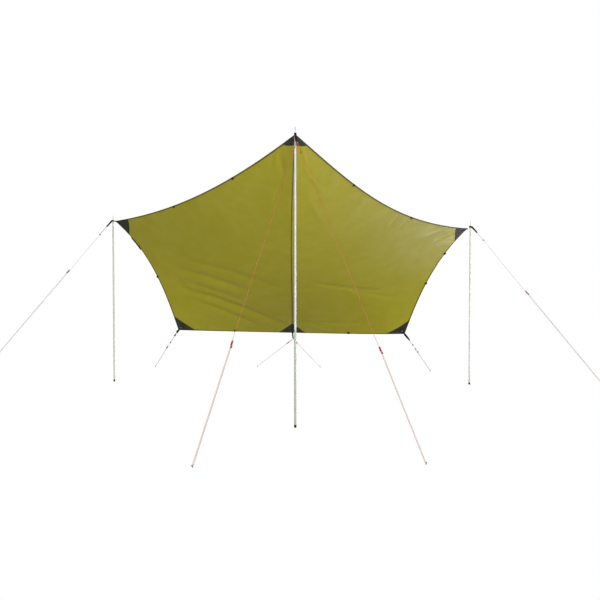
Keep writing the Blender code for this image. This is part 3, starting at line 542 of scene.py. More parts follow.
def bored(mesh, cutters):
    """The mesh with bores cut through it."""
    bar = bpy.data.objects.new("bar", mesh)
    bpy.context.scene.collection.objects.link(bar)
    helpers = [bar]
    for cutter_mesh in cutters:
        cutter = bpy.data.objects.new("cutter", cutter_mesh)
        bpy.context.scene.collection.objects.link(cutter)
        helpers.append(cutter)
        cut = bar.modifiers.new("bore", "BOOLEAN")
        cut.operation = "DIFFERENCE"
        cut.solver = "EXACT"
        cut.object = cutter
    bpy.context.view_layer.update()
    made = bpy.data.meshes.new_from_object(bar.evaluated_get(bpy.context.evaluated_depsgraph_get()))
    for helper in helpers:
        bpy.data.objects.remove(helper)
    return made


# Shader tools
def colour(red, green, blue):
    """A screen colour, each part of it from 0 to 255, as linear light."""
    return [((level / 255 + 0.055) / 1.055) ** 2.4 for level in (red, green, blue)] + [1]


def add_node(tree, kind, sockets=None, **settings):
    """A node with its settings, and its inputs set to values or fed by other sockets."""
    node = tree.nodes.new(kind)
    for name, value in settings.items():
        setattr(node, name, value)
    for name, value in (sockets or {}).items():
        if isinstance(value, bpy.types.NodeSocket):
            tree.links.new(value, node.inputs[name])
        else:
            node.inputs[name].default_value = value
    return node


def maths(tree, operation, first, second=0.0):
    return add_node(tree, "ShaderNodeMath", {0: first, 1: second}, operation=operation).outputs[0]


def ranged(tree, value, low, high, new_low=0.0, new_high=1.0):
    sockets = {"Value": value, "From Min": low, "From Max": high, "To Min": new_low, "To Max": new_high}
    return add_node(tree, "ShaderNodeMapRange", sockets, interpolation_type="SMOOTHSTEP").outputs[0]


def mixed(tree, share, first, second):
    node = add_node(tree, "ShaderNodeMix", {0: share, 6: first, 7: second}, data_type="RGBA")
    return node.outputs[2]


def new_group(name, *outputs, **inputs):
    """A node group: its tree, its inner inputs and its inner outputs. An input without a value is a
    vector, and the others are numbers. Underscores stand for spaces in their names."""
    group = bpy.data.node_groups.new(name, "ShaderNodeTree")
    for socket, value in inputs.items():
        kind = "NodeSocketVector" if value is None else "NodeSocketFloat"
        made = group.interface.new_socket(socket.replace("_", " "), in_out="INPUT", socket_type=kind)
        if value is not None:
            made.default_value = value
    for socket in outputs:
        group.interface.new_socket(socket, in_out="OUTPUT", socket_type="NodeSocketFloat")
    return group, group.nodes.new("NodeGroupInput").outputs, group.nodes.new("NodeGroupOutput").inputs


def split(tree, vector):
    return add_node(tree, "ShaderNodeSeparateXYZ", {0: vector}).outputs


def pitches(group, given):
    """X and Y of the group's place, counted in pitches."""
    axes = split(group, given["Place"])
    return [maths(group, "DIVIDE", axes[axis], given["Pitch"]) for axis in ("X", "Y")]


def weave_group():
    """Plain weave: threads over and under, on a place in metres."""
    group, given, out = new_group("Plain weave", "Height", Place=None, Pitch=0.5 * MM)
    turns = [maths(group, "MULTIPLY", turn, math.pi) for turn in pitches(group, given)]
    over = maths(group, "MULTIPLY", *(maths(group, "SINE", turn) for turn in turns))
    group.links.new(maths(group, "MULTIPLY_ADD", over, 0.5), out["Height"])
    return group


def grid_group():
    """Thicker threads that cross the cloth as a fine grid."""
    group, given, out = new_group("Strong threads", "Mask", Place=None, Pitch=6 * MM)
    turns = [maths(group, "PINGPONG", turn, 0.5) for turn in pitches(group, given)]
    group.links.new(maths(group, "MAXIMUM", *(ranged(group, turn, 0.44, 0.5) for turn in turns)), out["Mask"])
    return group


def ribs_group():
    """Cross ribs along a run of tape or webbing."""
    group, given, out = new_group("Ribs", "Height", Run=None, Pitch=1.2 * MM)
    along = maths(group, "DIVIDE", split(group, given["Run"])["Y"], given["Pitch"])
    group.links.new(maths(group, "SINE", maths(group, "MULTIPLY", along, math.tau)), out["Height"])
    return group


def braid_group():
    """A braided rope: the crossing strands' height, and where they are red."""
    group, given, out = new_group("Braid", "Height", "Red", Run=None, Lay=9 * MM, Red_share=0.5)
    axes = split(group, given["Run"])
    along = maths(group, "DIVIDE", axes["Y"], given["Lay"])
    strands = []
    for way in ("ADD", "SUBTRACT"):
        turns = maths(group, "MULTIPLY", maths(group, way, axes["X"], along), 4.0)
        strands.append(maths(group, "SINE", maths(group, "MULTIPLY", turns, math.tau)))
    group.links.new(maths(group, "MULTIPLY", *strands), out["Height"])
    turns = maths(group, "MULTIPLY", maths(group, "ADD", axes["X"], along), 2 * math.tau)
    least = maths(group, "COSINE", maths(group, "MULTIPLY", given["Red share"], math.pi))
    above = maths(group, "SUBTRACT", maths(group, "SINE", turns), least)
    group.links.new(ranged(group, above, -0.08, 0.08), out["Red"])
    return group


def mottle_group():
    """Soft uneven patches of tone."""
    group, given, out = new_group("Mottle", "Mask", Place=None, Scale=4.0)
    sockets = {"Vector": given["Place"], "Scale": given["Scale"], "Detail": 4.0}
    noise = add_node(group, "ShaderNodeTexNoise", sockets)
    group.links.new(ranged(group, noise.outputs[0], 0.32, 0.68), out["Mask"])
    return group


def scuff_group():
    """Fine scratches and rubbed spots."""
    group, given, out = new_group("Scuffs", "Mask", Place=None, Scale=60.0, Amount=0.4)
    stretched = add_node(group, "ShaderNodeMapping", {"Vector": given["Place"], "Scale": (1, 1, 0.12)})
    sockets = {"Vector": stretched.outputs[0], "Scale": given["Scale"], "Detail": 6.0}
    noise = add_node(group, "ShaderNodeTexNoise", sockets)
    found = ranged(group, noise.outputs[0], 0.56, 0.70)
    group.links.new(maths(group, "MULTIPLY", found, given["Amount"]), out["Mask"])
    return group


def dust_group():
    """Dry dust and splashes near the ground."""
    group, given, out = new_group("Ground dust", "Mask", Place=None, Reach=0.1, Amount=0.5)
    height = maths(group, "DIVIDE", split(group, given["Place"])["Z"], given["Reach"])
    near = ranged(group, maths(group, "SUBTRACT", 1.0, height), 0.0, 1.0)
    noise = add_node(group, "ShaderNodeTexNoise", {"Vector": given["Place"], "Scale": 90.0})
    settled = maths(group, "MULTIPLY", near, noise.outputs[0])
    group.links.new(maths(group, "MULTIPLY", settled, given["Amount"]), out["Mask"])
    return group


class Finish:
    """A material under way: its tree, its shader and the coordinates that its patterns use."""

    def __init__(self, name, roughness, metallic=0.0, specular=0.5):
        self.material = bpy.data.materials.new(name)
        self.material.use_nodes = True
        self.tree = self.material.node_tree
        self.shader = self.tree.nodes["Principled BSDF"]
        values = {"Roughness": roughness, "Metallic": metallic, "Specular IOR Level": specular}
        for socket, value in values.items():
            self.shader.inputs[socket].default_value = value
        self.place = add_node(self.tree, "ShaderNodeTexCoord").outputs["Object"]
        self.run = add_node(self.tree, "ShaderNodeUVMap", uv_map="Run").outputs["UV"]

    def group(self, name, output, **sockets):
        """A shared effect. Underscores stand for spaces in the names of its sockets."""
        given = {socket.replace("_", " "): value for socket, value in sockets.items()}
        return add_node(self.tree, "ShaderNodeGroup", given, node_tree=GROUPS[name]).outputs[output]

    def mottle(self, scale):
        return self.group("mottle", "Mask", Place=self.place, Scale=scale)

    def scuffs(self, scale, amount):
        return self.group("scuffs", "Mask", Place=self.place, Scale=scale, Amount=amount)

    def mix(self, mask, first, second, share=1.0):
        """Two tones mixed by a mask, or by a share of it."""
        mask = mask if share == 1.0 else maths(self.tree, "MULTIPLY", mask, share)
        return mixed(self.tree, mask, first, second)

    def feed(self, socket, value):
        self.tree.links.new(value, self.shader.inputs[socket])

    def roughen(self, mask, low, high, top=1.0):
        self.feed("Roughness", ranged(self.tree, mask, 0.0, top, low, high))

    def bump(self, height, distance, strength=1.0):
        sockets = {"Height": height, "Distance": distance, "Strength": strength}
        node = add_node(self.tree, "ShaderNodeBump", sockets)
        if self.shader.inputs["Normal"].is_linked:
            self.tree.links.new(self.shader.inputs["Normal"].links[0].from_socket, node.inputs["Normal"])
        self.feed("Normal", node.outputs[0])


def cloth_finish():
    """Thin coated cloth, with a grid of strong threads and a plain weave between them."""
    finish = Finish("olive cloth", 0.6, specular=0.15)
    fine = finish.mottle(7.0)
    grid = finish.group("grid", "Mask", Place=finish.run, Pitch=6 * MM)
    tone = finish.mix(finish.mottle(0.9), colour(138, 131, 27), colour(143, 136, 35))
    tone = finish.mix(fine, tone, colour(132, 125, 25), 0.35)
    finish.feed("Base Color", finish.mix(grid, tone, colour(110, 104, 34), 0.12))
    finish.roughen(fine, 0.60, 0.72)
    finish.bump(finish.group("weave", "Height", Place=finish.run, Pitch=0.5 * MM), 0.05 * MM, 0.6)
    finish.bump(grid, 0.06 * MM, 0.6)
    return finish.material


def mottled_finish(name, roughness, uneven, specular, scale, dark, light):
    """Plain stuff with soft patches of tone and gloss: the finish, and the patches."""
    finish = Finish(name, roughness, specular=specular)
    mask = finish.mottle(scale)
    finish.feed("Base Color", finish.mix(mask, dark, light))
    if uneven:
        finish.roughen(mask, roughness - uneven, roughness + uneven)
    return finish, mask


def patch_finish():
    dark, light = colour(43, 44, 38), colour(52, 53, 46)
    finish, _ = mottled_finish("dark patch cloth", 0.69, 0.07, 0.045, 14.0, dark, light)
    finish.bump(finish.group("weave", "Height", Place=finish.run, Pitch=1.0 * MM), 0.15 * MM)
    return finish.material


def tape_finish(name, dark, light, roughness, pitch, depth):
    """Ribbed tape or webbing, paler on the crests of its ribs and darker in the grooves between them: painted
    light and shade.
    """
    finish = Finish(name, roughness, specular=0.03)
    ribs = finish.group("ribs", "Height", Run=finish.run, Pitch=pitch)
    worn = finish.mottle(25.0)
    # Painted light and shade: the tone follows the ribs' height, paler on their crests and darker in their
    # grooves.
    tone = mixed(finish.tree, maths(finish.tree, "MULTIPLY_ADD", ribs, 0.25), dark, light)
    finish.feed("Base Color", finish.mix(worn, tone, light, 0.3))
    finish.roughen(worn, roughness - 0.06, roughness + 0.06)
    finish.bump(ribs, depth)
    return finish.material


def seam_tape_finish():
    finish, worn = mottled_finish("seam tape", 0.5, 0.08, 0.15, 20.0, colour(80, 70, 32), colour(92, 80, 38))
    finish.bump(worn, 0.3 * MM, 0.4)
    return finish.material


def steel_finish(name, dark, light):
    """Zinc-coated steel tube: soft spangle, scratches and a little dust at the foot."""
    finish = Finish(name, 0.6, metallic=0.2)
    scuffs = finish.scuffs(220.0, 0.2)
    dust = finish.group("dust", "Mask", Place=finish.place, Reach=0.12, Amount=0.5)
    tone = finish.mix(finish.mottle(45.0), dark, light)
    tone = finish.mix(scuffs, tone, colour(150, 152, 145))
    finish.feed("Base Color", finish.mix(dust, tone, colour(150, 135, 110)))
    finish.roughen(scuffs, 0.55, 0.7, top=0.2)
    finish.bump(scuffs, 0.02 * MM, 0.3)
    return finish.material


def rubber_finish():
    dark, light = colour(12, 12, 12), colour(20, 20, 20)
    finish, grain = mottled_finish("black rubber", 0.76, 0.08, 0.2, 300.0, dark, light)
    finish.bump(grain, 0.1 * MM)
    return finish.material


def plated_finish(name, tone, roughness):
    finish = Finish(name, roughness, metallic=1.0)
    scuffs = finish.scuffs(400.0, 0.6)
    finish.feed("Base Color", finish.mix(scuffs, tone, colour(95, 95, 92)))
    finish.roughen(scuffs, roughness, roughness + 0.2, top=0.6)
    return finish.material


def rope_finish(name, red_share, red_tone, pale_tone):
    """Braided rope with red strands, a little faded in places."""
    finish = Finish(name, 0.8, specular=0.1)
    red = finish.group("braid", "Red", Run=finish.run, Red_share=red_share)
    strands = finish.group("braid", "Height", Run=finish.run, Red_share=red_share)
    worn = finish.mottle(40.0)
    tone = finish.mix(red, pale_tone, red_tone)
    finish.feed("Base Color", finish.mix(worn, tone, colour(190, 150, 135), 0.15))
    finish.roughen(worn, 0.74, 0.86)
    finish.bump(strands, 0.25 * MM)
    return finish.material


def plastic_finish(name, dark, light):
    """Moulded plastic with a fine grain, paler where it rubs."""
    finish, _ = mottled_finish(name, 0.465, 0.085, 0.2, 70.0, dark, light)
    finish.bump(finish.mottle(500.0), 0.03 * MM)
    return finish.material


def thread_finish(name, dark, light):
    return mottled_finish(name, 0.7, 0.0, 0.5, 200.0, dark, light)[0].material


GROUPS = {
    "weave": weave_group(),
    "grid": grid_group(),
    "ribs": ribs_group(),
    "braid": braid_group(),
    "mottle": mottle_group(),
    "scuffs": scuff_group(),
    "dust": dust_group(),
}
FINISHES = {
    "cloth": cloth_finish(),
    "patch": patch_finish(),
    "webbing": tape_finish(
        "black webbing", colour(18, 18, 18), colour(34, 34, 34), 0.75, 1.4 * MM, 0.2 * MM
    ),
    "binding": tape_finish(
        "olive binding", colour(76, 67, 12), colour(92, 83, 18), 0.7, 1.0 * MM, 0.1 * MM
    ),
    "tape": seam_tape_finish(),
    "steel": steel_finish("zinc steel", colour(176, 181, 168), colour(188, 193, 180)),
    # Copies of the zinc steel with painted light: a darker, greener one as painted shade and a painted green
    # reflection, and a neutral grey one as a painted reflection.
    "steel_painted_shade": steel_finish("zinc steel with painted shade", colour(136, 142, 128), colour(146, 152, 138)),
    "steel_painted_reflection": steel_finish("zinc steel with painted reflection", colour(160, 163, 160), colour(170, 173, 170)),
    "rubber": rubber_finish(),
    "eyelet": plated_finish("plated eyelet", colour(150, 150, 150), 0.3),
    "link": plated_finish("plated link", colour(205, 207, 205), 0.35),
    "dark_link": plated_finish("dark plated link", colour(42, 44, 44), 0.45),
    "peg": plated_finish("steel peg", colour(90, 92, 95), 0.4),
    "front_rope": rope_finish("red flecked rope", 0.8, colour(162, 44, 16), colour(168, 142, 108)),
    "knot_rope": rope_finish("knotted red rope", 0.9, colour(150, 30, 26), colour(170, 150, 140)),
    "pale_knot_rope": rope_finish("pale knotted rope", 0.6, colour(176, 96, 86), colour(200, 190, 184)),
    "return_rope": rope_finish("dark flecked rope", 0.7, colour(104, 34, 24), colour(130, 100, 84)),
    "rope": rope_finish("pale flecked rope", 0.2, colour(140, 50, 42), colour(146, 140, 133)),
    "pale_rope": rope_finish("palest rope", 0.1, colour(190, 140, 130), colour(208, 204, 200)),
    "runner": plastic_finish("red plastic", colour(132, 18, 15), colour(150, 28, 24)),
    "olive_thread": thread_finish("olive thread", colour(96, 90, 38), colour(120, 112, 52)),
    "black_thread": thread_finish("black thread", colour(30, 30, 30), colour(58, 58, 54)),
}
PANELS = {
    "left": Panel(-1, LEFT_WING, REAR_LEFT, LEFT_BOWS, LEFT_FOLDS),
    "right": Panel(1, RIGHT_WING, REAR_RIGHT, RIGHT_BOWS, RIGHT_FOLDS),
}


# Camera, light and floor
def set_camera():
    camera = bpy.data.cameras.new("camera")
    camera.lens, camera.sensor_width = LENS, SENSOR
    holder = bpy.data.objects.new("camera", camera)
    bpy.context.scene.collection.objects.link(holder)
    holder.location = CAMERA_PLACE
    holder.rotation_euler = (math.pi / 2 - CAMERA_PITCH, 0, 0)
    bpy.context.scene.camera = holder


def add_light(name, place, target, size, power):
    light = bpy.data.lights.new(name, "AREA")
    light.shape = "DISK"
    light.size, light.energy = size, power
    holder = bpy.data.objects.new(name, light)
    bpy.context.scene.collection.objects.link(holder)
    back = unit(np.array(place, float) - np.array(target, float))
    side = unit(np.cross(UP, back))
    holder.matrix_world = carried(place, side, np.cross(back, side), back)
    return holder


def set_light():
    """A white room: the camera sees plain white, and the object an even light with a soft key from the
    front, a softer light from behind, and a low one behind the right wing that only its gloss shows."""
    scene = bpy.context.scene
    scene.view_settings.view_transform = "Standard"
    world = bpy.data.worlds.new("white room")
    scene.world = world
    world.use_nodes = True
    tree = world.node_tree
    tree.nodes.clear()
    room = add_node(tree, "ShaderNodeBackground", {"Color": WHITE, "Strength": ROOM_LIGHT})
    seen = add_node(tree, "ShaderNodeBackground", {"Color": WHITE, "Strength": 1.0})
    path = add_node(tree, "ShaderNodeLightPath").outputs["Is Camera Ray"]
    both = add_node(tree, "ShaderNodeMixShader", {0: path, 1: room.outputs[0], 2: seen.outputs[0]})
    add_node(tree, "ShaderNodeOutputWorld", {"Surface": both.outputs[0]})
    lights = {name: add_light(name, *light) for name, light in LIGHTS.items()}
    lights["sheen"].visible_diffuse = lights["sheen"].visible_camera = False


def add_floor():
    """A floor that the camera sees as plain white, and the object as pale grey with a faint glow."""
    shape = Shape()
    signs = ((-1, -1), (1, -1), (1, 1), (-1, 1))
    corners = [(x * FLOOR_REACH, y * FLOOR_REACH, FLOOR_LEVEL) for x, y in signs]
    shape.add(corners, [(0, 1, 2, 3)], [(0.0, 0.0)] * 4)
    finish = Finish("white floor", 0.9, specular=0.0)
    finish.shader.inputs["Emission Color"].default_value = WHITE
    seen = add_node(finish.tree, "ShaderNodeLightPath").outputs["Is Camera Ray"]
    finish.feed("Base Color", mixed(finish.tree, seen, PALE_GREY, BLACK))
    finish.feed("Emission Strength", maths(finish.tree, "MAXIMUM", seen, FLOOR_GLOW))
    floor = bpy.data.objects.new("floor", shape_mesh("floor", shape, finish.material))
    bpy.context.scene.collection.objects.link(floor)


# Straps
def on_bisector(name, distance):
    """A place on the cloth, inward from a corner and halfway between its edges: the point, the unit
    vector that leads inward and the normal."""
    if name in ("apex", "rear_middle"):
        end = 0.0 if name == "apex" else 1.0
        into = PANELS["left"].slopes(0.0, end)[1] * (1 - 2 * end)
        v = abs(end - distance / np.linalg.norm(into))
        point = seam_place(v, 0, 0.0)
        return point, unit(into), unit(point - seam_place(v, 0, 1.0))
    panel = PANELS["left" if "left" in name else "right"]
    end = 0.0 if "wing" in name else 1.0
    along_u, along_v = panel.slopes(1.0, end)
    into = unit(along_v) * (1 - 2 * end) - unit(along_u)
    share = distance / np.linalg.norm(into)
    u, v = 1 - share / np.linalg.norm(along_u), abs(end - share / np.linalg.norm(along_v))
    return panel.flat(u, v), unit(into), panel.normal(u, v)


def strap_route(name):
    """Stations along a strap, from the patch out to its end: points, directions across and widths.
    Over a pole it lies flat on the eyelet. A side or rear strap then twists to face the front."""
    stations = []

    def station(point, across, width=STRAP_WIDTH):
        stations.append((point, across, width))

    for distance in np.linspace(STRAP_SEWN.get(name, STRAP_SEWN_USUAL), STRAP_SEWN_END, STRAP_SEWN_STEPS):
        point, into, normal = on_bisector(name, distance)
        station(point - normal * STRAP_SEWN_LEVEL, unit(np.cross(normal, into)))
    corner, into, normal = on_bisector(name, 0)
    last, across = corner - normal * STRAP_OFF_LEVEL - into * STRAP_OFF_CLOTH, unit(np.cross(normal, into))
    turn_after, width = STRAP_TURNS.get(name, (None, STRAP_WIDTH))
    station(last, across, STRAP_WIDTH if name in POLE_OF else width)
    if name in POLE_OF:
        eyelet = POLES[POLE_OF[name]]
        out = level_unit(last - eyelet)
        flat_across = np.cross(UP, out)
        if dot(flat_across, across)[0] < 0:
            flat_across = -flat_across
        if name in STRAP_STAYS_FLAT:
            station(last + (eyelet + out * STRAP_FLAT[0] - last) * STRAP_STAYS_FLAT[name], across)
        for reach in STRAP_FLAT:
            station(eyelet + out * reach, flat_across)
    last, across, _ = stations[-1]
    end = STRAP_ENDS[name]
    way = unit(end - last)
    across = square_to(across, way)
    if turn_after:
        facing = unit(np.cross(way, AHEAD))
        facing = facing if dot(facing, across)[0] > 0 else -facing
        station(last + way * turn_after, unit(across + 2 * facing), width)
        across = facing
    station(end - way * STRAP_TAPER, across, min(width, STRAP_TAPERED_WIDTH))
    station(end, across, STRAP_END_WIDTH)
    return [np.array(column) for column in zip(*stations)]


def smoothed(values, along, steps):
    """More rows on a smooth curve through the given rows, which lie at the distances along."""
    slopes = np.gradient(values, along, axis=0)
    rows = []
    for k in range(len(values) - 1):
        span = along[k + 1] - along[k]
        for t in np.arange(steps) / steps:
            start = values[k] * (1 + 2 * t) * (1 - t) ** 2 + slopes[k] * span * t * (1 - t) ** 2
            end = values[k + 1] * t * t * (3 - 2 * t) + slopes[k + 1] * span * t * t * (t - 1)
            rows.append(start + end)
    return np.array(rows + [values[-1]])


def webbing(shape, points, acrosses, widths):
    """A strip of webbing with soft edges."""
    ways = unit(np.gradient(points, axis=0))
    acrosses = square_to(acrosses, ways)
    faces = np.cross(acrosses, ways)
    thick, soft = STRAP_THICKNESS / 2, 0.45 * STRAP_THICKNESS
    rings = []
    for point, across, face, width in zip(points, acrosses, faces, widths):
        half = width / 2
        outline = [(half, soft - thick), (half - soft, -thick), (soft - half, -thick), (-half, soft - thick)]
        outline += [(-a, -b) for a, b in outline]
        rings.append([point + across * a + face * b for a, b in outline])
    shape.sweep(rings)


def add_link(name, finish, near, far, across, half_width, wire):
    """A wire link between two ends of webbing."""
    centre, way = (near + far) / 2, unit(far - near)
    across = square_to(across, way) * half_width
    half = way * (np.linalg.norm(far - near) / 2 + wire)
    path = [centre + half * long + across * wide for long, wide in zip(*soft_ring(32, 0.5, 0.5))]
    link = Shape()
    link.tube(path, wire, closed=True)
    add_piece(f"{name}_link", link, finish)


def add_strap(name):
    """A strap from its patch to its guy, with its eyelet's hole and its link."""
    points, acrosses, widths = strap_route(name)
    along = run_along(points)
    fine, across = (smoothed(rows, along, STRAP_STEPS) for rows in (points, acrosses))
    spans = np.interp(np.arange(len(fine)) / STRAP_STEPS, np.arange(len(widths)), widths)
    shape = Shape()
    if name in LINKS:
        finish, *edges, half_width, wire = LINKS[name]
        near, far = along[STRAP_SEWN_STEPS] - STRAP_OFF_CLOTH + np.array(edges)
        fine_along = run_along(fine)
        ends = []
        for kept, edge in ((fine_along < near, near), (fine_along > far, far)):
            webbing(shape, fine[kept], across[kept], spans[kept])
            end, side = rows_at(edge, fine_along, fine), rows_at(edge, fine_along, across)
            roll = side * (half_width - wire)
            shape.tube((end - roll, end + roll), wire + STRAP_THICKNESS)
            ends.append(end)
        add_link(name, finish, *ends, side, half_width, wire)
    else:
        webbing(shape, fine, across, spans)
    roll = across[-1] * STRAP_END_WIDTH / 2
    shape.tube((fine[-1] - roll, fine[-1] + roll), STRAP_ROLL)
    mesh = shape_mesh(f"{name}_webbing", shape, FINISHES["webbing"])
    if name in POLE_OF:
        cutter, reach = Shape(), STRAP_HOLE_REACH
        cutter.turn(((EYELET_NECK, -reach), (EYELET_NECK, reach)), POLES[POLE_OF[name]], sides=32)
        mesh = bored(mesh, [shape_mesh("hole", cutter, FINISHES["webbing"])])
    place_piece(f"{name}_webbing", mesh, replaces=[f"{name}_strap"])
    sewn = slice(1, STRAP_STEPS * (STRAP_SEWN_STEPS - 1))
    add_strap_stitches(name, fine[sewn], across[sewn] * STRAP_STITCHES_OUT)
    if name in CORNER_EYELETS:
        add_corner_eyelet(name)


def add_strap_stitches(name, line, side):
    """Stitches on the sewn part of a strap: a row along each side, and a cross between them."""
    normals = np.tile(-on_bisector(name, 0)[2], (len(line), 1))
    surface = line + normals * STRAP_THICKNESS / 2
    cross = np.linspace(-1, 1, len(line))[:, None]
    thread = Shape()
    for row in (surface + side, surface - side, surface + side * cross, surface - side * cross):
        thread.stitches(row, normals, STRAP_STITCH_EVERY, STRAP_STITCH_LENGTH)
    add_piece(f"{name}_webbing_stitches", thread, "black_thread")


def add_corner_eyelet(name):
    """A small eyelet through the sewn part of a rear strap."""
    point, _, normal = on_bisector(name, CORNER_EYELET_IN)
    face = STRAP_SEWN_LEVEL + STRAP_THICKNESS / 2 - CORNER_EYELET_SUNK
    bore, rim = CORNER_EYELET_BORE, CORNER_EYELET_RADIUS
    outline = (
        (bore, face), (bore, face + 1.0 * MM), (bore + 1.2 * MM, face + 1.5 * MM),
        (rim - 1.5 * MM, face + 1.4 * MM), (rim, face + 0.5 * MM), (rim, face),
    )
    shape = Shape()
    shape.turn(outline, point, -normal, closed=True, sides=36)
    add_piece(f"{name}_corner_eyelet", shape, "eyelet", sharp=30)


# Guys
class Guy:
    """The line of a guy from its strap to the bow round its peg, and the two strands beside it."""

    def __init__(self, name):
        corner, shift, ground, to_runner, to_tie = GUYS[name]
        points, acrosses, _ = strap_route(corner)
        across = -acrosses[-1] if acrosses[-1][0] < 0 else acrosses[-1]
        self.name, self.ground = name, np.array((*ground, 0.0))
        self.strap_way = unit(points[-1] - points[-2])
        self.start = points[-1] + across * shift + self.strap_way * ROPE_LEAD
        self.away = level_unit(self.ground - self.start)
        peg = self.ground + (UP + self.away * math.tan(PEG_LEAN)) * BOW_ABOVE_GROUND
        level = unit(np.cross(peg - self.start, UP))
        self.direction = unit(peg + level * ROPE_BOW - self.start)
        self.level = unit(np.cross(self.direction, UP))
        length = np.linalg.norm(peg + self.level * ROPE_BOW - self.start)
        self.middle = self.start + self.direction * length - self.level * ROPE_BOW
        self.tie = self.start + self.direction * length * to_tie
        self.runner_reach = length * (1 - to_runner)

    def strand(self, reach, side):
        """A place on the standing strand (side 1) or the returning one (side -1), reach metres up from
        the peg. The turned guys' strands turn a quarter there, so that their runners face the front."""
        turn = math.pi / 2 * eased(reach / QUARTER_TURN) if self.name in TURNED_GUYS else 0.0
        off = self.level * math.cos(turn) + np.cross(self.direction, self.level) * math.sin(turn)
        return self.middle - self.direction * reach + off * side * ROPE_BOW

    def strand_path(self, top, side):
        """A strand down to the peg, from top metres above it. Its points lie closer where it turns."""
        straight = np.linspace(top, QUARTER_TURN, STRAND_STEPS)
        turning = np.linspace(QUARTER_TURN, 0, TURNING_STEPS)[1:]
        return [self.strand(reach, side) for reach in np.concatenate((straight, turning))]

    def standing_path(self):
        """The standing strand, straight from the strap to the top of its runner, and on round the peg."""
        top = self.runner_reach + RUNNER_LENGTH / 2
        path = [self.start - self.strap_way * (ROPE_LEAD - ROPE_CLEAR)]
        path += [self.start, (self.start + self.tie) / 2]
        path += [self.tie + (self.strand(top, 1) - self.tie) * k / TIE_STEPS for k in range(TIE_STEPS)]
        path += self.strand_path(top, 1)
        for k in range(1, BOW_POINTS + 1):
            angle = math.pi * k / BOW_POINTS
            off = self.level * math.cos(angle) + self.direction * math.sin(angle)
            path.append(self.middle + off * ROPE_BOW)
        return path


def knot(shape, centre, way, side):
    """Tight turns of rope round its own two strands, with a short tail."""
    other = np.cross(way, side)
    points = []
    for k in range(KNOT_TURNS * KNOT_STEPS + 1):
        turns = k / KNOT_STEPS
        angle, rise = math.tau * turns, (turns - KNOT_TURNS / 2) * 2 * ROPE_RADIUS
        points.append(centre + way * rise + (side * math.cos(angle) + other * math.sin(angle)) * KNOT_RADIUS)
    last = points[-1]
    points += [last + way * along * MM + side * out * MM for along, out in KNOT_TAIL]
    shape.tube(points, ROPE_RADIUS)


def add_tie(guy, rope, knot_rope):
    """The loop that ties a guy to its strap: a second strand, up to the knot that closes it."""
    first, last = TIE_APART
    points = []
    for share in np.linspace(0, 1, TIE_STEPS + 1):
        apart = first * (1 - share) + last * share + TIE_BELLY * math.sin(math.pi * share)
        points.append(guy.start + (guy.tie - guy.start) * share - guy.level * apart)
    points[0] = guy.start - guy.strap_way * (ROPE_LEAD - ROPE_CLEAR) - guy.level * first
    shape, knot_shape = Shape(), Shape()
    shape.tube(points, ROPE_RADIUS)
    knot(knot_shape, guy.tie - guy.level * ROPE_RADIUS, guy.direction, guy.level)
    add_piece(f"{guy.name}_tie_knot", knot_shape, knot_rope)
    return add_piece(f"{guy.name}_tie", shape, rope)


def add_guy(name, runner):
    guy = Guy(name)
    rope, knot_rope, return_rope = ROPES.get(name, USUAL_ROPES)
    body, joint = f"{name}_runner", f"{name}_runner_slide"
    tie = add_tie(guy, rope, knot_rope)
    standing, end, returning = Shape(), Shape(), Shape()

    path = guy.standing_path()
    standing.tube(path, ROPE_RADIUS)
    leg = add_piece(f"{name}_standing_rope", standing, rope, replaces=[f"{name}_guy_rope"])

    under_runner = guy.runner_reach - RUNNER_LENGTH / 2
    gap = KNOT_BELOW_RUNNER.get(name, KNOT_BELOW_USUAL)
    knot(end, guy.strand(under_runner - gap - (KNOT_TURNS + 1) * ROPE_RADIUS, -1), -guy.direction, guy.level)
    over_runner = guy.runner_reach + RUNNER_LENGTH / 2 + TAIL_OVER_RUNNER
    tail = (under_runner - TAIL_UNDER_RUNNER, guy.runner_reach, over_runner)
    end.tube([guy.strand(reach, -1) for reach in tail], ROPE_RADIUS)
    end_knot = add_piece(f"{name}_end_knot", end, knot_rope, body)

    back = guy.strand_path(under_runner, -1)[::-1]
    returning.tube(back, ROPE_RADIUS)
    second = add_piece(f"{name}_return_rope", returning, return_rope)
    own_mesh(second)

    across = unit(guy.strand(guy.runner_reach, 1) - guy.strand(guy.runner_reach, -1))
    place = guy.middle - guy.direction * guy.runner_reach
    matrix = carried(place.tolist(), guy.direction, across, np.cross(guy.direction, across))
    place_piece(f"{name}_slider", runner, body, [f"{name}_guy_runner"], matrix)
    add_peg(guy)


def runner_mesh():
    """A moulded bar along X, waisted and ribbed for the fingers, with a bore for each run of rope."""
    shape = Shape()
    across, up = soft_ring(40, 0.45, 0.6)
    rings = []
    for x in np.linspace(-1, 1, 57):
        ending = RUNNER_END + (1 - RUNNER_END) * max(1 - abs(x) ** 6, 0.0) ** 0.5
        waist = math.cos(math.pi * x / 2) ** 2
        half = (RUNNER_WIDTH / 2 - RUNNER_WAIST * waist) * ending
        thick = (RUNNER_THICKNESS / 2 - RUNNER_DIP * waist) * ending
        along = x * RUNNER_LENGTH / 2
        if abs(x) < RUNNER_RIBBED:
            thick += RUNNER_RIB * math.cos(math.tau * along / RUNNER_RIB_EVERY)
        ring = np.broadcast_arrays(along, across * half, up * thick)
        rings.append(np.stack(ring, -1))
    shape.sweep(rings)
    cutters = []
    for side in (1, -1):
        bore = Shape()
        ends = [(reach * RUNNER_LENGTH, side * ROPE_BOW, 0) for reach in (-1, 1)]
        bore.tube(ends, RUNNER_BORE, sides=24)
        cutters.append(shape_mesh("bore", bore, FINISHES["runner"]))
    return bored(shape_mesh("runner", shape, FINISHES["runner"]), cutters)


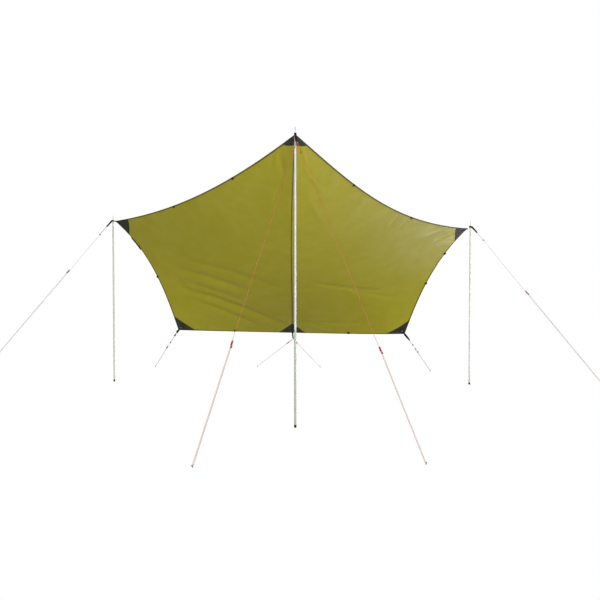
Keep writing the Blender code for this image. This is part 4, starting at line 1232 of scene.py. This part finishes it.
def add_peg(guy):
    """A nail peg that leans away from its guy. What is in the ground is left out."""
    axis = UP * math.cos(PEG_LEAN) + guy.away * math.sin(PEG_LEAN)
    top = PEG_HEIGHT / math.cos(PEG_LEAN)
    head = top - PEG_HEAD_THICKNESS
    outline = (
        (PEG_SHAFT, 0), (PEG_SHAFT, head - 0.6 * MM), (PEG_SHAFT + 0.5 * MM, head),
        (PEG_HEAD - 0.3 * MM, head), (PEG_HEAD, head + 0.3 * MM), (PEG_HEAD, top - 0.8 * MM),
        (PEG_HEAD - 0.5 * MM, top - 0.3 * MM),
        (PEG_HEAD / 2, top - 0.05 * MM), (0.3 * MM, top),
    )
    shape = Shape()
    shape.turn(outline, guy.ground, axis, sides=28, level_foot=True)
    add_piece(f"{guy.name}_nail", shape, "peg", replaces=[f"{guy.name}_guy_peg"])


# Cloth
def add_cloth(side):
    panel = PANELS[side]
    u, v = np.meshgrid(
        np.linspace(0, 1, CLOTH_COLUMNS), np.linspace(0, 1, CLOTH_ROWS), indexing="ij"
    )
    width, length = panel.spans(u, v)
    shape = Shape()
    near, far = panel.place(u, v, CLOTH_HALF), panel.place(u, v, -CLOTH_HALF)
    shape.sheet(near, far, np.stack((u * width, v * length), -1))
    cloth = add_piece(f"{side}_cloth", shape, "cloth", replaces=[f"{side}_panel"], sharp=60)


def edge_shares(panel, edge):
    """Shares of an edge at even steps, close enough to follow its curve."""
    fine = np.linspace(0, 1, EDGE_SAMPLES)
    line = panel.edge_place(edge, fine, 0.0, 0.0)
    along = run_along(line)
    count = int(along[-1] / EDGE_STATION_EVERY)
    return np.interp(np.linspace(0, along[-1], count), along, fine)


def add_binding(side):
    """The tape bound round each open edge, and its row of stitches on both sides."""
    panel = PANELS[side]
    wide, near, far, nose = BINDING_WIDTH, BINDING_NEAR, BINDING_FAR, BINDING_NOSE
    outer = [(wide, far), (0.8 * MM, far), (-0.6 * nose, 0.75 * far), (-nose, 0.0)]
    inner = [(-0.3 * MM, 0.0), (0.0, 0.7 * near), (0.6 * MM, near), (wide, near)]
    profile = outer + [(inset, -level) for inset, level in outer[-2::-1]]
    profile += [(inset, -level) for inset, level in inner[::-1]] + inner[1:]
    tape, thread = Shape(), Shape()
    for step, edge in enumerate(("front", "wing", "rear")):
        shares = edge_shares(panel, edge)
        raised = step * BINDING_LAP
        rings = [
            panel.edge_place(edge, shares, inset, level + math.copysign(raised, level) if level else 0.0)
            for inset, level in profile
        ]
        tape.sweep(np.stack(rings, 1))
        for level in (far, -far):
            line = panel.edge_place(edge, shares, wide - BINDING_STITCHES_IN, level)
            below = panel.edge_place(edge, shares, wide - BINDING_STITCHES_IN, 0.0)
            thread.stitches(line, unit(line - below))
    binding = add_piece(
        f"{side}_edge_tape", tape, "binding", replaces=[f"{side}_edge_binding"]
    )
    stitches = add_piece(f"{side}_edge_stitches", thread, "olive_thread")
    return [binding, stitches]


def add_loops(side, loops):
    """Short loops of webbing sewn under the hem."""
    panel = PANELS[side]
    shape = Shape()
    level, low = (row[:, None] for row in soft_ring(28, 0.8, 1.0))
    for edge, shares in loops.items():
        width, reach, past_edge = LOOP_SIZES[edge]
        for share in shares:
            place = panel.edge_place(edge, share, 0.0, 0.0)
            into = unit(panel.edge_place(edge, share, reach, 0.0) - place)
            down = unit(panel.edge_place(edge, share, 0.0, 1 * MM) - place)
            half = unit(np.cross(into, down)) * width / 2
            middle = place + into * (reach / 2 - past_edge) + down * (LOOP_LEVEL + LOOP_HALF_HEIGHT)
            outer, inner = (
                middle + into * level * (reach / 2 - wall) + down * low * (LOOP_HALF_HEIGHT - wall)
                for wall in (0, LOOP_WALL)
            )
            shape.sweep(np.stack((outer - half, outer + half, inner + half, inner - half), 1), capped=False)
    return add_piece(f"{side}_hem_loops", shape, "webbing")


def add_hem_strip():
    """A strip of webbing sewn under the left wing's edge."""
    panel = PANELS["left"]
    shares = np.linspace(*HEM_STRIP, 24)
    insets = np.array(HEM_STRIP_INSETS)
    near, far = (
        np.stack([panel.edge_place("wing", shares, inset, level) for inset in insets], 1)
        for level in (HEM_STRIP_LEVEL, HEM_STRIP_LEVEL + STRAP_THICKNESS)
    )
    run = np.stack(np.broadcast_arrays(insets[None, :], shares[:, None] * WING_LENGTH), -1)
    shape = Shape()
    shape.sheet(near, far, run)
    return add_piece("left_hem_strip", shape, "webbing")


def add_seam():
    """The felled seam: a tape on the inner side, a fold on the outer side and two rows of stitches."""
    v = np.linspace(*TAPE_ENDS, CLOTH_ROWS)
    half = TAPE_HALF_WIDTH
    pieces = []
    for name, finish, slot, side, replaced in (
        ("seam_inner_tape", "tape", "seam_tape", 1, ["seam_tape"]),
        ("seam_outer_fold", "cloth", "cloth", -1, []),
    ):
        across = np.array((-half, -half / 2, 0.0, half / 2, half))
        near = np.stack([seam_place(v, a, side * TAPE_NEAR) for a in across], 1)
        far = np.stack([seam_place(v, a, side * TAPE_FAR) for a in across], 1)
        run = np.stack(np.broadcast_arrays(across[None, :], v[:, None] * SEAM_LENGTH), -1)
        shape = Shape()
        shape.sheet(near, far, run)
        pieces.append(add_piece(name, shape, finish, replaces=replaced))
    thread = Shape()
    for side in (1, -1):
        for across in (TAPE_STITCHES_IN - half, half - TAPE_STITCHES_IN):
            line = seam_place(v, across, side * TAPE_FAR)
            thread.stitches(line, unit(line - seam_place(v, across, 0.0)))
    pieces.append(add_piece("seam_stitches", thread, "olive_thread"))
    return pieces


def patch_places(corner, spans, bulge, reaches, level):
    """A grid of points over a patch, that opens like a fan from its corner."""
    columns = []
    for number, (side, first, last) in enumerate(spans):
        for s in np.linspace(0, 1, PATCH_COLUMNS)[1 if number else 0:]:
            arc = 1 + bulge * 4 * s * (1 - s)
            u = corner[0] + (first[0] * (1 - s) + last[0] * s) * arc * reaches
            v = corner[1] + (first[1] * (1 - s) + last[1] * s) * arc * reaches
            on_seam = len(spans) == 2 and s == (0 if number else 1)
            columns.append(seam_place(v, 0, level) if on_seam else PANELS[side].place(u, v, level))
    return np.stack(columns, 1)


def add_patch(name):
    corner, spans, bulge = PATCHES[name]
    levels = (PATCH_NEAR, PATCH_FAR)
    near, far = (patch_places(corner, spans, bulge, PATCH_REACHES, level) for level in levels)
    across = np.linspace(0, PATCH_BREADTH, near.shape[1])
    run = np.stack(np.meshgrid(PATCH_REACHES * PATCH_LENGTH, across, indexing="ij"), -1)
    shape = Shape()
    shape.sheet(near, far, run)
    patch = add_piece(f"{name}_patch_cloth", shape, "patch", replaces=[f"{name}_patch"])
    thread = Shape()
    for share in PATCH_STITCHES_AT:
        line, below = (
            patch_places(corner, spans, bulge, np.array((share,)), level)[0] for level in (PATCH_FAR, 0.0)
        )
        thread.stitches(line, unit(line - below), PATCH_STITCH_EVERY, PATCH_STITCH_LENGTH)
    stitches = add_piece(f"{name}_patch_stitches", thread, "black_thread")
    return [patch, stitches]


# Poles
def turned_piece(name, outline, foot, finish, replaces=(), closed=False):
    shape = Shape()
    shape.turn(outline, foot, closed=closed)
    add_piece(name, shape, finish, replaces=replaces, sharp=30)


def tube_outline(length, swaged):
    lip = 0.4 * MM
    outline = [(TUBE_OUTER - lip, 0), (TUBE_OUTER, lip)]
    if swaged:
        outline += [
            (TUBE_OUTER, length - 2 * SWAGE_STEP), (TUBE_OUTER - lip, length - SWAGE_STEP / 2),
            (SWAGE_OUTER, length + SWAGE_STEP), (SWAGE_OUTER, length + SWAGE_LENGTH - lip),
            (SWAGE_OUTER - lip, length + SWAGE_LENGTH), (SWAGE_INNER, length + SWAGE_LENGTH),
            (SWAGE_INNER, length - SWAGE_STEP), (TUBE_INNER, length - 3 * SWAGE_STEP),
        ]
    else:
        outline += [(TUBE_OUTER, length - lip), (TUBE_OUTER - lip, length), (TUBE_INNER, length)]
    return outline + [(TUBE_INNER, 0)]


def foot_outline():
    """A rubber cap with a rounded toe and three grip rings."""
    outline = [(FOOT_OUTER - FOOT_TOE, 0)]
    for angle in np.arange(1, 6) * math.pi / 10:
        outline.append((FOOT_OUTER - FOOT_TOE * (1 - math.sin(angle)), FOOT_TOE * (1 - math.cos(angle))))
    for low in FOOT_RINGS:
        outline += [(FOOT_OUTER - depth * MM, low + height * MM) for height, depth in FOOT_RING]
    outline += [(FOOT_OUTER, FOOT_HEIGHT - 0.8 * MM), (FOOT_OUTER - 0.6 * MM, FOOT_HEIGHT)]
    return outline + [(FOOT_INNER, FOOT_HEIGHT), (FOOT_INNER, FOOT_FLOOR), (1 * MM, FOOT_FLOOR)]


def spike_outline(shoulder):
    """The plug that goes into the top tube, the shoulder under the eyelet and the pin through it."""
    bottom, tip = shoulder - SHOULDER_THICKNESS, PIN_ABOVE_EYELET
    return [
        (SWAGE_OUTER - 0.8 * MM, bottom - PLUG_LENGTH), (SWAGE_OUTER, bottom - PLUG_LENGTH + 0.8 * MM),
        (SWAGE_OUTER, bottom), (TUBE_OUTER - 0.5 * MM, bottom), (TUBE_OUTER, bottom + 0.5 * MM),
        (TUBE_OUTER, shoulder - 1 * MM), (TUBE_OUTER - 1 * MM, shoulder),
        (PIN_RADIUS + 0.4 * MM, shoulder), (PIN_RADIUS, shoulder + 0.5 * MM), (PIN_RADIUS, tip - 6 * MM),
        (PIN_RADIUS * 0.85, tip - 3 * MM), (PIN_RADIUS * 0.55, tip - 1 * MM), (0.3 * MM, tip),
    ]


def collar_outline(low, high):
    inner, outer = TUBE_OUTER + FIT / 2, TUBE_OUTER + COLLAR_WALL
    return (inner, low), (inner, high), (outer - 0.7 * MM, high), (outer, high - 0.7 * MM), (outer, low)


def eyelet_outline():
    """Two flanges that hold the strap's webbing between them, on a neck through it."""
    lip = 0.4 * MM
    lower = [
        (EYELET_BORE, lip - EYELET_OUTER), (EYELET_BORE + 0.3 * MM, -EYELET_OUTER),
        (EYELET_FLANGE - lip, -EYELET_OUTER), (EYELET_FLANGE, lip - EYELET_OUTER),
        (EYELET_FLANGE, -EYELET_INNER), (EYELET_NECK, -EYELET_INNER),
    ]
    return lower + [(radius, -height) for radius, height in lower[::-1]]


def add_pole(name, corner):
    eyelet = POLES[name]
    ground = np.array((eyelet[0], eyelet[1], 0.0))
    shoulder = -EYELET_OUTER - FIT
    base = FOOT_FLOOR + FIT
    top = eyelet[2] + shoulder - SHOULDER_THICKNESS - FIT
    join = SWAGE_STEP + FIT
    length = (top - base - 2 * join) / len(SECTIONS)
    turned_piece(f"{name}_foot_cap", foot_outline(), ground, "rubber", [f"{name}_pole_foot"])
    for number, (section, finish) in enumerate(zip(SECTIONS, TUBES.get(name, USUAL_TUBES))):
        foot = ground + UP * (base + number * (length + join))
        turned_piece(
            f"{name}_{section}_section", tube_outline(length, section != "upper"), foot, finish,
            [f"{name}_pole_{section}_tube"], closed=True,
        )
    spike = spike_outline(shoulder)
    # The spike pin takes the darker copy of the zinc steel, as painted shade.
    turned_piece(f"{name}_spike_pin", spike, eyelet, "steel_painted_shade", [f"{name}_pole_spike"])
    collar = collar_outline(shoulder - COLLAR_HEIGHT[name], shoulder - COLLAR_GAP)
    turned_piece(f"{name}_spike_collar", collar, eyelet, "rubber", closed=True)
    turned_piece(
        f"{corner}_eyelet_ring", eyelet_outline(), eyelet, "eyelet", [f"{corner}_eyelet"],
        closed=True,
    )


def main():
    set_camera()
    set_light()
    add_floor()
    runner = runner_mesh()
    for name in GUYS:
        add_guy(name, runner)
    seam = add_seam()
    for name in STRAP_ENDS:
        add_strap(name)
    patches = {name: add_patch(name) for name in PATCHES}
    for side, loops in (("left", LEFT_LOOPS), ("right", RIGHT_LOOPS)):
        pieces = add_binding(side) + [add_loops(side, loops)]
        pieces += patches[f"{side}_wing"] + patches[f"rear_{side}"]
        if side == "left":
            pieces += seam + patches["apex"] + patches["rear_middle"] + [add_hem_strip()]
        add_cloth(side)
    for corner, pole in POLE_OF.items():
        add_pole(pole, corner)


main()
